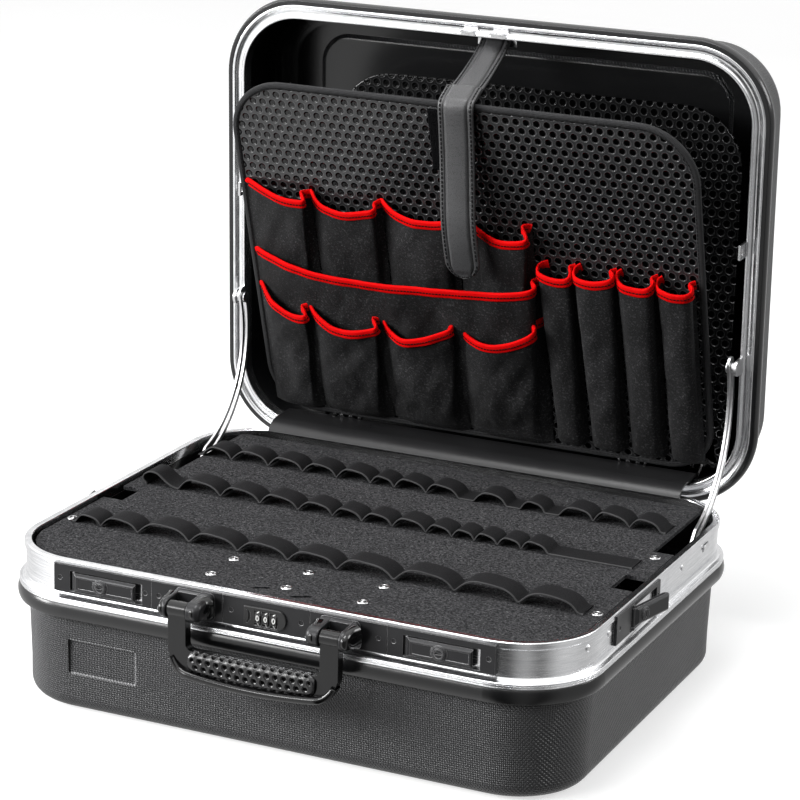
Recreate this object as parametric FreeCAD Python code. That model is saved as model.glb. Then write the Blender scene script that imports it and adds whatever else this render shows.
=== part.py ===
import FreeCAD, Part
import math
import os

os.makedirs("parts", exist_ok=True)
V = FreeCAD.Vector

# ---------------------------------------------------------------- driving dimensions (mm)
CASE_W = 470.0            # width over the rim
CASE_D = 375.0            # depth over the rim
CORNER_R = 62.0           # corner radius of the rim, seen from above
RIM_Z = 123.4             # top of the base rim
BAND_Z0 = 89.6            # lower edge of the metal band
SHELL_T = 2.8             # moulded wall
FLOOR_T = 3.0
FOOT_R = 12.0             # bottom edge radius
LID_DEPTH = 74.0          # lid height above the rim
LID_EDGE_R = 21.0         # radius of the lid's outer edge
HINGE_Y = 190.0
HINGE_Z = 113.3
LID_OPEN = 88.5           # degrees
FACE_W = 11.5             # width of the lid frame face
BOARD_TOP = 120.5         # felt surface of the tool board
BOARD_T = 3.0
BOARD_GAP = 3.0
LOOP_D = 22.0             # loop width along the case depth
PB_HALF = 202.5           # pocket board half width
PB_H = 315.0              # pocket board height
PB_R = 48.8
PB_R2 = 42.0             # lower corner radius
PB_LEAN = 17.2            # degrees forward of vertical
PB_Y, PB_Z = 214.2, 136.75
STAY_P = (96.035, 85.523) # pivot of the lid stays (y, z)
STAY_R = 123.227          # lid pin distance from the lid hinge
STAY_A = 1.600            # lid pin angle, lid open (rad)
STAY_K = 1.018            # stay turn per lid turn
STAY_X0, STAY_X1 = 218.7, 220.7
HANDLE_Y, HANDLE_Z = -209.0, 111.0
LEVER_OPEN_SIDE = 12.0    # degrees
DIAL_R = 9.5
DIAL_Y, DIAL_Z = -183.2, 108.0
DIAL_PITCH = 6.6
CORNER_SCREW_DEG = -14.5  # screw on the front corners, angle from the side

A = CASE_W / 2
B = CASE_D / 2
FRONT = -B + 1.2          # front face of the band
SIDE = A - 1.2


# ---------------------------------------------------------------- helpers
def box(x0, x1, y0, y1, z0, z1):
    return Part.makeBox(x1 - x0, y1 - y0, z1 - z0, V(x0, y0, z0))


def cyl(p, d, r, h):
    return Part.makeCylinder(r, h, V(*p), V(*d))


def tube(p, d, ro, ri, h):
    return cyl(p, d, ro, h).cut(cyl(p, d, ri, h))


def wire(items, to3):
    pts = []
    edges = []
    first = items[0]
    cur = to3(*first)
    start = cur
    for it in items[1:]:
        if isinstance(it[0], tuple):
            mid, end = to3(*it[0]), to3(*it[1])
            edges.append(Part.Arc(cur, mid, end).toShape())
            cur = end
        else:
            end = to3(*it)
            edges.append(Part.makeLine(cur, end))
            cur = end
    if cur.distanceToPoint(start) > 1e-6:
        edges.append(Part.makeLine(cur, start))
    return Part.Wire(edges)


def prism(items, plane, lo, hi):
    if plane == "yz":
        w = wire(items, lambda a, b: V(lo, a, b)); d = V(hi - lo, 0, 0)
    elif plane == "xz":
        w = wire(items, lambda a, b: V(a, lo, b)); d = V(0, hi - lo, 0)
    else:
        w = wire(items, lambda a, b: V(a, b, lo)); d = V(0, 0, hi - lo)
    s = Part.Face(w).extrude(d)
    if s.Volume < 0:
        s.reverse()
    return s


def fuse(shapes, refine=True):
    s = shapes[0]
    if len(shapes) > 1:
        s = s.multiFuse(shapes[1:])
    if refine:
        try:
            r = s.removeSplitter()
            if r.isValid():
                s = r
        except Exception:
            pass
    return s


def slab(a, b, r, z0, z1, cx=0.0, cy=0.0):
    k = r * (1 - math.sqrt(0.5))
    x0, x1, y0, y1 = cx - a, cx + a, cy - b, cy + b
    items = [(x0 + r, y0), (x1 - r, y0), ((x1 - k, y0 + k), (x1, y0 + r)), (x1, y1 - r),
             ((x1 - k, y1 - k), (x1 - r, y1)), (x0 + r, y1), ((x0 + k, y1 - k), (x0, y1 - r)),
             (x0, y0 + r), ((x0 + k, y0 + k), (x0 + r, y0))]
    return prism(items, "xy", z0, z1)


def ring(items, a, b, r, cx=0.0, cy=0.0):
    """closed (outward offset, height) section carried round a rounded rectangle"""
    parts = []
    s = math.sqrt(0.5)
    for dx, dy, half, run in ((1, 0, b, a), (-1, 0, b, a), (0, 1, a, b), (0, -1, a, b)):
        ln = 2 * (half - r)
        if dx:
            f = Part.Face(wire(items, lambda u, z: V(cx + dx * (run + u), cy - ln / 2, z)))
            parts.append(f.extrude(V(0, ln, 0)))
        else:
            f = Part.Face(wire(items, lambda u, z: V(cx - ln / 2, cy + dy * (run + u), z)))
            parts.append(f.extrude(V(ln, 0, 0)))
    for i, (sx, sy) in enumerate(((1, 1), (-1, 1), (-1, -1), (1, -1))):
        c = V(cx + sx * (a - r), cy + sy * (b - r), 0)
        t0 = math.radians(90 * i)
        f = Part.Face(wire(items, lambda u, z: V(c.x + (r + u) * math.cos(t0), c.y + (r + u) * math.sin(t0), z)))
        parts.append(f.revolve(c, V(0, 0, 1), 90))
    for p in parts:
        if p.Volume < 0:
            p.reverse()
    return fuse(parts)


def rot_x(s, y, z, deg):
    s = s.copy()
    s.rotate(V(0, y, z), V(1, 0, 0), deg)
    return s


def mirror_x(s):
    return s.mirror(V(0, 0, 0), V(1, 0, 0))


def open_lid(s):
    return rot_x(s, HINGE_Y, HINGE_Z, -LID_OPEN)


def soften(s, r, pick):
    es = [e for e in s.Edges if pick(e)]
    if not es:
        return s
    try:
        t = s.makeFillet(r, es)
        if t.isValid() and t.Volume > 0.5 * s.Volume:
            return t
    except Exception:
        pass
    return s


def along(e, ax):
    if len(e.Vertexes) < 2 or e.Curve.TypeId != "Part::GeomLine":
        return False
    d = e.Vertexes[1].Point.sub(e.Vertexes[0].Point)
    n = d.Length
    return n > 1e-6 and abs(abs((d.x, d.y, d.z)[ax]) - n) < 1e-6 * n + 1e-9


def save(name, *shapes):
    flat = []
    for s in shapes:
        flat += s.Solids if s.Solids else [s]
    out = flat[0] if len(flat) == 1 else Part.makeCompound(flat)
    out.exportStep("parts/%s.step" % name)
    bb = out.BoundBox
    print("%-26s solids %3d  valid %s  x %.1f %.1f  y %.1f %.1f  z %.1f %.1f" % (
        name, len(flat), out.isValid(), bb.XMin, bb.XMax, bb.YMin, bb.YMax, bb.ZMin, bb.ZMax))
    return out


# ---------------------------------------------------------------- base tub
q = math.sqrt(0.5)
ri = FOOT_R - SHELL_T
tub = ring([
    (-5.6, 114.5), (-2.75, 114.5), (-2.75, 89.4), (3.9, 89.4), ((5.45, 84.0), (4.2, 78.3)),
    (3.4, 77.5), (-1.6, 77.2), (-3.4, 75.8), (-5.0, 28.0), (-5.0, FOOT_R),
    ((-5.0 - FOOT_R * (1 - q), FOOT_R * (1 - q)), (-5.0 - FOOT_R, 0.0)),
    (-5.0 - FOOT_R, FLOOR_T), ((-7.8 - ri * (1 - q), FLOOR_T + ri * (1 - q)), (-7.8, FLOOR_T + ri)),
    (-7.8, 28.0), (-6.4, 76.0), (-5.6, 79.0)], A, B, CORNER_R)
floor = slab(A - 5 - FOOT_R, B - 5 - FOOT_R, CORNER_R - 5 - FOOT_R, 0.0, FLOOR_T)
base_shell = fuse([tub, floor])
base_shell = base_shell.cut(box(-172, -114, -190, -181.8, 31, 58))
base_shell = base_shell.cut(box(-14, 14, -190, -180, 98.0, 120))
save("base_shell", base_shell)

# metal band with a rolled rim and a flared lower lip
band = ring([
    (-5.7, 115.0), (-5.7, 122.4), ((-5.41, 123.11), (-4.7, RIM_Z)), (-1.0, RIM_Z),
    ((-0.29, 123.11), (0.0, 122.4)), (0.0, 118.6), (-0.5, 117.9), (-1.2, 117.6), (-1.2, 96.8),
    ((-0.1, 95.2), (1.8, 94.4)), (3.6, 94.0), ((4.25, 93.5), (4.3, 92.9)), (3.7, 92.6), (4.35, 92.3),
    (4.35, 91.2), (3.7, 90.9), (4.3, 90.6), (4.0, BAND_Z0), (2.6, BAND_Z0), (2.6, 92.4), (0.2, 93.5),
    ((-1.7, 94.6), (-2.6, 96.4)), (-2.6, 121.6), (-4.4, 121.6), (-4.4, 115.0)], A, B, CORNER_R)
band = band.cut(box(-11, 11, -190, -184.5, 98.2, 118.0))
band = band.cut(box(-14, 14, -184.0, -180, 110, 119.2))
lances = []
for sx in (-1, 1):
    t = box(sx * 233.8 - 3, sx * 233.8 + 3, 99.0, 112.0, 109.6, 115.6)
    band = band.cut(t)
    lances.append(soften(box(min(sx * 233.0, sx * 235.0), max(sx * 233.0, sx * 235.0), 99.6, 111.4, 110.2, 115.0),
                         2.3, lambda e: along(e, 0)))
save("base_frame", band)

# ledges and posts that carry the tool board
ledge = [(-181.9, 106.0), (-181.9, 114.5), (-181.4, 115.0), (-181.4, 117.5), (-173.0, 117.5), (-173.0, 114.5)]
rests = []
for x0, x1 in ((-150, -20), (20, 150)):
    rests.append(prism(ledge, "yz", x0, x1))
sl = [(229.4, 106.0), (229.4, 114.5), (228.9, 115.0), (228.9, 117.5), (218.6, 117.5), (218.6, 114.5)]
sl_r = prism(sl, "xz", -118, -60)
rests += [sl_r, mirror_x(sl_r)]
for x in (-150, 0, 150):
    rests.append(soften(box(x - 5, x + 5, 155, 165, FLOOR_T, 117.5), 2, lambda e: along(e, 2)))
save("board_rests", *rests)

# ---------------------------------------------------------------- front lock strip
PY = -190.0               # face of the plates on the front band
PZ0, PZ1 = 98.3, 121.3


def front_plate(x0, x1):
    sec = [(FRONT, PZ0), (PY + 0.6, PZ0), (PY, PZ0 + 0.6), (PY, PZ1 - 0.6), (PY + 0.6, PZ1), (-B, PZ1),
           (-B, 117.95), (FRONT, 117.7)]
    return prism(sec, "yz", x0, x1)


LZ0, LZ1 = 101.0, 115.4   # lever height range
lev = {"left": (-163.2, -109.5), "right": (109.6 + 2.8, 164.2)}
lock_x = {"left": -139.0, "right": 138.5}
plate_x = {"left": (-180.0, -96.7), "right": (96.9, 181.0)}
PIN_Y = -188.4
LOCK_Z = 108.2
for side in ("left", "right"):
    x0, x1 = lev[side]
    pl = front_plate(*plate_x[side])
    pl = pl.cut(box(x0 - 3.0, x1 + 5.2, PY - 1, FRONT + 1, LZ0 - 0.7, LZ1 + 0.8))
    pl = pl.cut(cyl((x0, PIN_Y, 98.9), (0, 0, 1), 0.9, 18.7))
    for px in (plate_x[side][0] + 5.0, plate_x[side][1] - 5.0):
        pl = pl.cut(cyl((px, PY - 0.1, 110.0), (0, 1, 0), 1.9, 0.6))
    save("latch_plate_front_" + side, pl)
    plan = [(x0 - 1.75, PIN_Y), ((x0 - 1.2374, PIN_Y + 1.2374), (x0, PIN_Y + 1.75)), (x0 + 1.2, -187.2),
            (x1 - 3.0, -187.2), (x1 - 1.2, -188.6), (x1, -190.6), (x1, -191.4), (x1 - 1.2, -192.4),
            (x0 + 3.4, -192.4), (x0 + 1.9, -191.6), (x0 + 0.4, PIN_Y - 1.7),
            ((x0 - 1.2374, PIN_Y - 1.2374), (x0 - 1.75, PIN_Y))]
    body = prism(plan, "xy", LZ0, LZ1)
    sec = [(-186.0, LZ0), (-190.5, LZ0), (-192.0, LZ0 + 1.5), (-192.4, LZ0 + 2.4), (-192.4, LZ1 - 2.4),
           (-192.0, LZ1 - 1.5), (-190.5, LZ1), (-186.0, LZ1)]
    body = body.common(prism(sec, "yz", x0 - 3, x1 + 1))
    lx = lock_x[side]
    bez = Part.makeCone(6.1, 5.2, 1.0, V(lx, -192.2, LOCK_Z), V(0, -1, 0))
    body = body.fuse(bez)
    body = body.cut(cyl((x0, PIN_Y, 90), (0, 0, 1), 0.95, 40))
    body = body.cut(cyl((lx, -194.0, LOCK_Z), (0, 1, 0), 4.25, 6.2))
    # thin raised border line inside the lever face
    body = body.cut(prism([(x0 + 5.0, LZ0 + 3.2), (x1 - 2.6, LZ0 + 3.2), (x1 - 2.6, LZ1 - 3.2), (x0 + 5.0, LZ1 - 3.2)],
                          "xz", -192.4, -192.15).cut(cyl((lx, -193.0, LOCK_Z), (0, 1, 0), 6.6, 2)))
    save("lever_front_" + side, body)
    bar = cyl((lx, -193.5, LOCK_Z), (0, 1, 0), 4.2, 5.6)
    bar = bar.cut(box(lx - 2.7, lx + 2.7, -193.6, -191.4, LOCK_Z - 0.6, LOCK_Z + 0.6))
    bar = bar.cut(tube((lx, -193.6, LOCK_Z), (0, 1, 0), 3.5, 3.2, 0.4))
    save("key_barrel_front_" + side, bar)
save("lever_pins_front", *[cyl((lev[s][0], PIN_Y, 98.9), (0, 0, 1), 0.9, 18.7) for s in ("left", "right")])

# handle brackets on their plates
for side, s in (("left", -1), ("right", 1)):
    x0, x1 = (-96.3, -36.6) if s < 0 else (35.0, 96.5)
    parts = [front_plate(x0, x1)]
    cheek = [(PY, PZ0), (-207.0, 103.7), ((-216.6, 110.2), (-209.8, 118.4)), (PY, 119.6)]
    for c0, c1 in ((70.2, 75.6), (43.0, 53.8)):
        lo, hi = (c0, c1) if s > 0 else (-c1, -c0)
        ch = prism(cheek, "yz", lo, hi)
        far = max(abs(lo), abs(hi)) if c0 > 60 else min(abs(lo), abs(hi))
        ch = soften(ch, 1.0, lambda e: not along(e, 0) and abs(abs(e.CenterOfMass.x) - far) > 1.0
                    and e.CenterOfMass.y < PY - 1.5)
        ch = soften(ch, 3.6 if c0 > 60 else 4.2, lambda e: not along(e, 0) and abs(abs(e.CenterOfMass.x) - far) < 0.05
                    and e.CenterOfMass.y < PY - 1.5)
        parts.append(ch)
    web = prism([(PY, PZ0), (-196.5, 100.8), (-196.5, 119.2), (PY, 119.5)], "yz",
                53.8 if s > 0 else -70.2, 70.2 if s > 0 else -53.8)
    parts.append(web)
    br = fuse(parts)
    lo, hi = (47.0, 74.0) if s > 0 else (-74.0, -47.0)
    br = br.cut(cyl((lo, HANDLE_Y, HANDLE_Z), (1, 0, 0), 2.5, hi - lo))
    br = br.cut(cyl((s * 90.0, PY - 0.1, 110.0), (0, 1, 0), 1.9, 0.6))
    save("handle_bracket_" + side, br)
save("handle_pins", cyl((47.0, HANDLE_Y, HANDLE_Z), (1, 0, 0), 2.5, 27.0),
     cyl((-74.0, HANDLE_Y, HANDLE_Z), (1, 0, 0), 2.5, 27.0))

# carrying handle, hanging
HY0, HY1 = -213.0, -205.0
outl = [(-69.5, 108.0), (-69.5, 80.0), (-67.2, 74.0), (-59.5, 63.2), ((-57.0, 60.6), (-53.5, 59.8)),
        ((0.0, 56.2), (53.5, 59.8)), ((57.0, 60.6), (59.5, 63.2)), (67.2, 74.0), (69.5, 80.0), (69.5, 108.0),
        (54.7, 108.0), (54.7, 86.5), ((53.2, 82.8), (49.5, 81.3)), (-49.5, 81.3), ((-53.2, 82.8), (-54.7, 86.5)),
        (-54.7, 108.0)]
hnd = prism(outl, "xz", HY0, HY1)
hnd = soften(hnd, 1.6, lambda e: abs(abs(e.CenterOfMass.y + 209.0) - 4.0) < 0.02 and e.CenterOfMass.z < 107.0)
bosses = []
for s in (-1, 1):
    lo = 54.7 if s > 0 else -69.5
    bosses.append(cyl((lo, HANDLE_Y, HANDLE_Z), (1, 0, 0), 6.0, 14.8))
    bosses.append(box(lo, lo + 14.8, HY0, HY1, 100.0, HANDLE_Z))
hnd = fuse([hnd] + bosses)
hnd = hnd.cut(cyl((-80, HANDLE_Y, HANDLE_Z), (1, 0, 0), 2.56, 160))
g_sec = [(-50.0, 61.5), ((0.0, 57.9), (50.0, 61.5)), (50.0, 79.2), (48.8, 80.6), (-48.8, 80.6), (-50.0, 79.2)]
grip = prism(g_sec, "xz", -217.2, -202.6)
cross = [(-217.2, 62.5), (-217.2, 77.0), ((-216.2, 79.8), (-213.6, 81.0)), (-206.2, 81.0), ((-203.6, 79.8), (-202.6, 77.0)),
         (-202.6, 62.5), ((-204.6, 58.6), (-209.9, 56.0)), ((-215.2, 58.6), (-217.2, 62.5))]
grip = grip.common(prism(cross, "yz", -60, 60))
grip = grip.cut(hnd)
save("handle", hnd)
save("handle_grip", grip)

# combination lock
cp = front_plate(-36.2, 34.6)
bz = [(-18.2, 101.4), (8.8, 101.0), ((16.5, 108.7), (8.8, 116.4)), (-18.2, 116.0)]
bezel = prism(bz, "xz", PY - 1.6, PY)
bezel = soften(bezel, 0.6, lambda e: abs(e.CenterOfMass.y - (PY - 1.6)) < 0.02)
for i in (-1, 0, 1):
    w = cyl((i * DIAL_PITCH - 2.8, DIAL_Y, DIAL_Z), (1, 0, 0), DIAL_R + 0.6, 5.6)
    bezel = bezel.cut(w)
    cp = cp.cut(w)
bezel = bezel.cut(prism([(-16.2, 103.0), ((-12.4, 108.6), (-16.2, 114.2)), ((-14.3, 108.6), (-16.2, 103.0))],
                        "xz", PY - 1.7, PY - 0.8))
for px in (-29.5, 28.0):
    cp = cp.cut(cyl((px, PY - 0.1, 110.0), (0, 1, 0), 1.9, 0.6))
save("combo_plate", cp)
save("combo_bezel", bezel)
case_ = fuse([box(-12.6, -10.6, -184.9, -171.6, 96.6, 116.6), box(10.6, 12.6, -184.9, -171.6, 96.6, 116.6),
              box(-12.6, 12.6, -184.9, -171.6, 95.6, 97.6), box(-12.6, 12.6, -172.8, -171.6, 97.6, 116.6)])
case_ = case_.cut(cyl((-20, DIAL_Y, DIAL_Z), (1, 0, 0), 1.5, 40))
case_ = case_.cut(box(-14, 14, -184.95, -181.9, 90, 98.0))
save("lock_case", case_)
save("dial_axle", cyl((-12.6, DIAL_Y, DIAL_Z), (1, 0, 0), 1.5, 25.2))
for n, i in (("dial_1", -1), ("dial_2", 0), ("dial_3", 1)):
    pts = []
    for k in range(10):
        a0 = math.radians(36 * k + 18 + 180)
        for da in (-2.2, 2.2):
            a1 = a0 + math.radians(da)
            r1 = DIAL_R
            pts.append((DIAL_Y + r1 * math.cos(a1), DIAL_Z + r1 * math.sin(a1)))
    d = prism(pts + [pts[0]], "yz", i * DIAL_PITCH - 2.4, i * DIAL_PITCH + 2.4)
    for k in range(10):
        a0 = math.radians(36 * k + 18 + 180)
        d = d.cut(cyl((i * DIAL_PITCH - 2.5, DIAL_Y + 9.7 * math.cos(a0), DIAL_Z + 9.7 * math.sin(a0)),
                      (1, 0, 0), 0.55, 5.0))
    d = d.cut(cyl((-20, DIAL_Y, DIAL_Z), (1, 0, 0), 1.56, 40))
    save(n, d)

# ---------------------------------------------------------------- side latches
SY0, SY1 = -94.6, -4.0
SPY = -62.0               # hinge line of the side lever
SPX = 236.0
L_TIP = 46.0


def side_build():
    sec = [(SIDE, PZ0), (SIDE + 2.0, PZ0), (SIDE + 2.6, PZ0 + 0.6), (SIDE + 2.6, PZ1 - 0.6), (SIDE + 2.0, PZ1),
           (A, PZ1), (A, 117.95), (SIDE, 117.7)]
    pl = prism(sec, "xz", SY0, SY1)
    win = box(SIDE - 0.5, SIDE + 5, SPY - 3.0, SPY + L_TIP + 4.6, 102.3, 118.6)
    win = win.cut(box(SIDE - 1, SIDE + 6, SPY - 5, SPY + L_TIP + 6, 117.6, 120))
    pl = pl.cut(win)
    ears = [prism([(SIDE + 2.6, SPY - 2.4), (SIDE + 3.4, SPY - 2.0), ((SIDE + 4.2, SPY), (SIDE + 3.4, SPY + 2.0)),
                   (SIDE + 2.6, SPY + 2.4)], "xy", z0, z1) for z0, z1 in ((100.0, 102.3), (117.6, 119.9))]
    pl = fuse([pl] + ears)
    pl = pl.cut(cyl((SPX, SPY, 100.4), (0, 0, 1), 0.9, 19.1))
    for py in (SY0 + 6.0, SY1 - 4.6):
        pl = pl.cut(cyl((SIDE + 2.1, py, 110.0), (1, 0, 0), 1.9, 0.6))
    pl = pl.cut(box(SIDE + 1.8, SIDE + 3, SPY - 6.0, SPY - 1.2, 99.6, 100.8))
    pin = cyl((SPX, SPY, 100.4), (0, 0, 1), 0.9, 19.1)
    z0, z1 = 102.9, 117.0
    x0 = SPX
    plan = [(x0, SPY - 1.75), ((x0 - 1.2374, SPY - 1.2374), (x0 - 1.75, SPY)), (x0 - 1.0, SPY + 1.5),
            (x0 - 1.0, SPY + L_TIP - 3), (x0 + 0.4, SPY + L_TIP - 1.2), (x0 + 1.9, SPY + L_TIP),
            (x0 + 2.6, SPY + L_TIP), (x0 + 3.4, SPY + L_TIP - 1.2), (x0 + 3.4, SPY + 4.2), (x0 + 2.8, SPY + 3.0),
            (x0 + 1.7, SPY + 0.5), ((x0 + 1.2374, SPY - 1.2374), (x0, SPY - 1.75))]
    lv = prism(plan, "xy", z0, z1)
    sec = [(x0 - 3, z0), (x0 + 1.6, z0), (x0 + 3.0, z0 + 1.4), (x0 + 3.4, z0 + 2.2), (x0 + 3.4, z1 - 2.2),
           (x0 + 3.0, z1 - 1.4), (x0 + 1.6, z1), (x0 - 3, z1)]
    lv = lv.common(prism(sec, "xz", SPY - 3, SPY + L_TIP + 1))
    ky, kz = SPY + 12.5, 109.9
    lv = lv.fuse(Part.makeCone(5.6, 4.9, 0.9, V(x0 + 3.3, ky, kz), V(1, 0, 0)))
    # blind bore for the barrel with a boss behind it
    lv = lv.cut(cyl((x0 - 0.4, ky, kz), (1, 0, 0), 3.85, 6))
    lv = lv.cut(cyl((SPX, SPY, 90), (0, 0, 1), 0.95, 40))
    kb = cyl((x0 - 0.3, ky, kz), (1, 0, 0), 3.8, 4.7)
    kb = kb.cut(box(x0 + 3.0, x0 + 5, ky - 0.55, ky + 0.55, kz - 2.4, kz + 2.4))
    return pl, pin, lv, kb


pl, pin, lv, kb = side_build()


def swing(s):
    s = s.copy()
    s.rotate(V(SPX, SPY, 0), V(0, 0, 1), -LEVER_OPEN_SIDE)
    return s


lv, kb = swing(lv), swing(kb)
save("latch_plate_side_right", pl)
save("latch_plate_side_left", mirror_x(pl))
save("lever_pins_side", pin, mirror_x(pin))
save("lever_side_right", lv)
save("lever_side_left", mirror_x(lv))
save("key_barrel_side_right", kb)
save("key_barrel_side_left", mirror_x(kb))

# screws and rivets on the band
screws = []


def dome(p, d, r, h):
    s = cyl(p, d, r, h * 0.45)
    c = Part.makeCone(r, r * 0.62, h * 0.55, V(*p) + V(*d) * (h * 0.45), V(*d))
    return s.fuse(c)


for s in (-1, 1):
    for y, z in ((-104.0, 111.0), (52.0, 112.0)):
        screws.append(dome((s * SIDE, y, z), (s, 0, 0), 2.6, 1.1))
    ca, sa = math.cos(math.radians(CORNER_SCREW_DEG)), math.sin(math.radians(CORNER_SCREW_DEG))
    rr = CORNER_R - 1.3
    screws.append(dome((s * (A - CORNER_R + rr * ca), -(B - CORNER_R) + rr * sa, 112.0), (s * ca, sa, 0), 2.6, 1.2).cut(band))
for x in (-60.0, 60.0):
    screws.append(dome((x, B - 1.2, 104.0), (0, 1, 0), 2.6, 1.1))
save("band_screws", *(screws + lances))

# ---------------------------------------------------------------- hinges
PIN_R, KN_R = 1.2, 2.45
leaf_b, leaf_l, pins = [], [], []
for cx in (-120.0, 120.0):
    lf = box(cx - 30, cx + 30, B - 1.2, B + 0.4, 96.8, 110.2)
    neck = prism([(B - 1.2, 109.8), (B + 0.4, 109.8), (HINGE_Y - 0.4, 111.4), (HINGE_Y - 2.0, 112.6)], "yz", cx - 30, cx + 30)
    kn = cyl((cx - 30, HINGE_Y, HINGE_Z), (1, 0, 0), KN_R, 60)
    s = fuse([lf, neck, kn])
    s = s.cut(box(cx - 10.4, cx + 10.4, HINGE_Y - 3.4, HINGE_Y + 4, 109.6, 120))
    s = s.cut(cyl((cx - 31, HINGE_Y, HINGE_Z), (1, 0, 0), PIN_R + 0.0, 62))
    for dx in (-22, 0, 22):
        s = s.fuse(dome((cx + dx, B + 0.4, 102.0), (0, 1, 0), 2.2, 0.9))
    leaf_b.append(s)
    ll = box(cx - 30, cx + 30, B + 0.12, B + 1.5, 120.2, 133.0)
    ln = prism([(B + 0.12, 120.2), (B + 1.5, 120.2), (B + 1.7, 117.0), (HINGE_Y + 0.6, HINGE_Z + 1.9),
                (HINGE_Y - 1.9, HINGE_Z + 1.0), (B + 0.12, 116.2)], "yz", cx - 10.0, cx + 10.0)
    lk = cyl((cx - 10.0, HINGE_Y, HINGE_Z), (1, 0, 0), KN_R, 20.0)
    s = fuse([ll, ln, lk])
    s = s.cut(cyl((cx - 31, HINGE_Y, HINGE_Z), (1, 0, 0), PIN_R + 0.05, 62))
    for dx in (-22, 0, 22):
        s = s.fuse(dome((cx + dx, B + 1.5, 128.0), (0, 1, 0), 2.2, 0.9))
    leaf_l.append(open_lid(s))
    pins.append(cyl((cx - 30, HINGE_Y, HINGE_Z), (1, 0, 0), PIN_R, 60))
save("hinge_leaves_base", *leaf_b)
save("hinge_leaves_lid", *leaf_l)
save("hinge_pins", *pins)

# ---------------------------------------------------------------- lid
frame = ring([
    (0.0, 124.6), ((-0.24, 124.04), (-0.8, 123.8)), (-2.2, 123.8), ((-2.9, 124.2), (-3.4, 124.9)),
    ((-5.9, 125.5), (-8.4, 124.9)), ((-8.9, 124.2), (-9.6, 123.8)), (-10.9, 123.8), ((-11.32, 123.98), (-11.5, 124.4)),
    (-11.5, 136.0), (-10.1, 136.0), (-10.1, 127.0), (-1.4, 127.0), (-1.4, 131.0), (0.0, 131.0)], A, B, CORNER_R)
save("lid_frame", open_lid(frame))

R = LID_EDGE_R
LT = RIM_Z + LID_DEPTH    # closed height
PN_A, PN_B, PN_R = 181.0, 148.7, 22.0
shell = ring([
    (0.2, 124.4), (3.6, 124.4), ((5.2, 128.0), (4.6, 133.0)), (3.6, 134.6), (-1.4, 134.9), (-3.0, 136.0),
    (-5.6, 165.0), (-6.0, LT - R), ((-6.0 - R * (1 - q), LT - R * (1 - q)), (-6.0 - R, LT)),
    (-6.0 - R, LT - SHELL_T), ((-6.0 - R + (R - SHELL_T) * q, LT - R + (R - SHELL_T) * q), (-6.0 - SHELL_T, LT - R)),
    (-8.4, 165.0), (-5.9, 137.0), (-1.6, 133.0), (0.2, 131.2)], A, B, CORNER_R)
border = slab(A - 6 - R, B - 6 - R, CORNER_R - 6 - R, LT - SHELL_T, LT).cut(
    slab(PN_A + 4, PN_B + 4, PN_R + 4, LT - 10, LT + 5))
step = ring([(4.0, LT), (1.8, LT - 0.6), (0.0, LT - 2.6), (0.0, LT - 2.6 - SHELL_T), (1.0, LT - 2.4 - SHELL_T),
             (4.0, LT - SHELL_T)], PN_A, PN_B, PN_R)
panel = slab(PN_A, PN_B, PN_R, LT - 2.6 - SHELL_T, LT - 2.6)
lid_shell = fuse([shell, border, step, panel])
for cx in (-120.0, 120.0):
    lid_shell = lid_shell.cut(box(cx - 31, cx + 31, B + 0.05, B + 8, 120, 133.6))
save("lid_shell", open_lid(lid_shell))

# strikers for the side latches and catches for the centre lock
st = []
for s in (-1, 1):
    p = prism([(-34.0, 112.0), (-22.0, 112.0), (-22.0, 127.0), (-34.0, 127.0)], "yz",
              221.4 if s > 0 else -223.5, 223.5 if s > 0 else -221.4)
    p = p.cut(box(-240, 240, -31.0, -25.0, 114.5, 119.0))
    p = p.fuse(dome((s * 221.4, -28.0, 124.6), (-s, 0, 0), 2.0, 0.4))
    st.append(p)
save("lid_strikers", *[open_lid(p) for p in st])
cat = []
for x0, x1 in ((-25.0, -13.0), (1.0, 14.0)):
    c = fuse([box(x0, x1, -181.2, -179.6, 118.4, 123.8), box(x0, x1, -181.2, -176.8, 122.6, 123.8)])
    cat.append(c)
save("lid_catches", *[open_lid(c) for c in cat])

# cover strip over the hinge gap
ri_, ro_ = 18.5, 20.5
a0, a1 = math.radians(97.0), math.radians(146.0)
am = (a0 + a1) / 2
hc = [(HINGE_Y + ri_ * math.cos(a0), HINGE_Z + ri_ * math.sin(a0)),
      ((HINGE_Y + ri_ * math.cos(am), HINGE_Z + ri_ * math.sin(am)), (HINGE_Y + ri_ * math.cos(a1), HINGE_Z + ri_ * math.sin(a1))),
      (HINGE_Y + ro_ * math.cos(a1), HINGE_Z + ro_ * math.sin(a1)),
      ((HINGE_Y + ro_ * math.cos(am), HINGE_Z + ro_ * math.sin(am)), (HINGE_Y + ro_ * math.cos(a0), HINGE_Z + ro_ * math.sin(a0))),
      (213.6, 134.6), (214.0, 133.4), (214.0, 127.75), (212.6, 127.75), (212.6, 132.5)]
# the flange bears on the inner face of the lid frame
leg = open_lid(frame)
cover = prism(hc, "yz", -187.0, 187.0)
flange = box(-187.0, 187.0, 199.6, 213.4, 127.9, 129.3)
cover = fuse([cover, flange]).cut(leg)
cover = Part.makeCompound(sorted(cover.Solids, key=lambda t: -t.Volume)[:1])
save("hinge_cover", cover)

# ---------------------------------------------------------------- lid stays
PHI = math.radians(LID_OPEN)


def stay_point(t):
    ang = STAY_A + t * PHI
    y = HINGE_Y + STAY_R * math.cos(ang) - STAY_P[0]
    z = HINGE_Z + STAY_R * math.sin(ang) - STAY_P[1]
    b = -STAY_K * t * PHI
    return (STAY_P[0] + y * math.cos(b) - z * math.sin(b), STAY_P[1] + y * math.sin(b) + z * math.cos(b))


N = 24
mid = [stay_point(i / N) for i in range(N + 1)]


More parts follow.
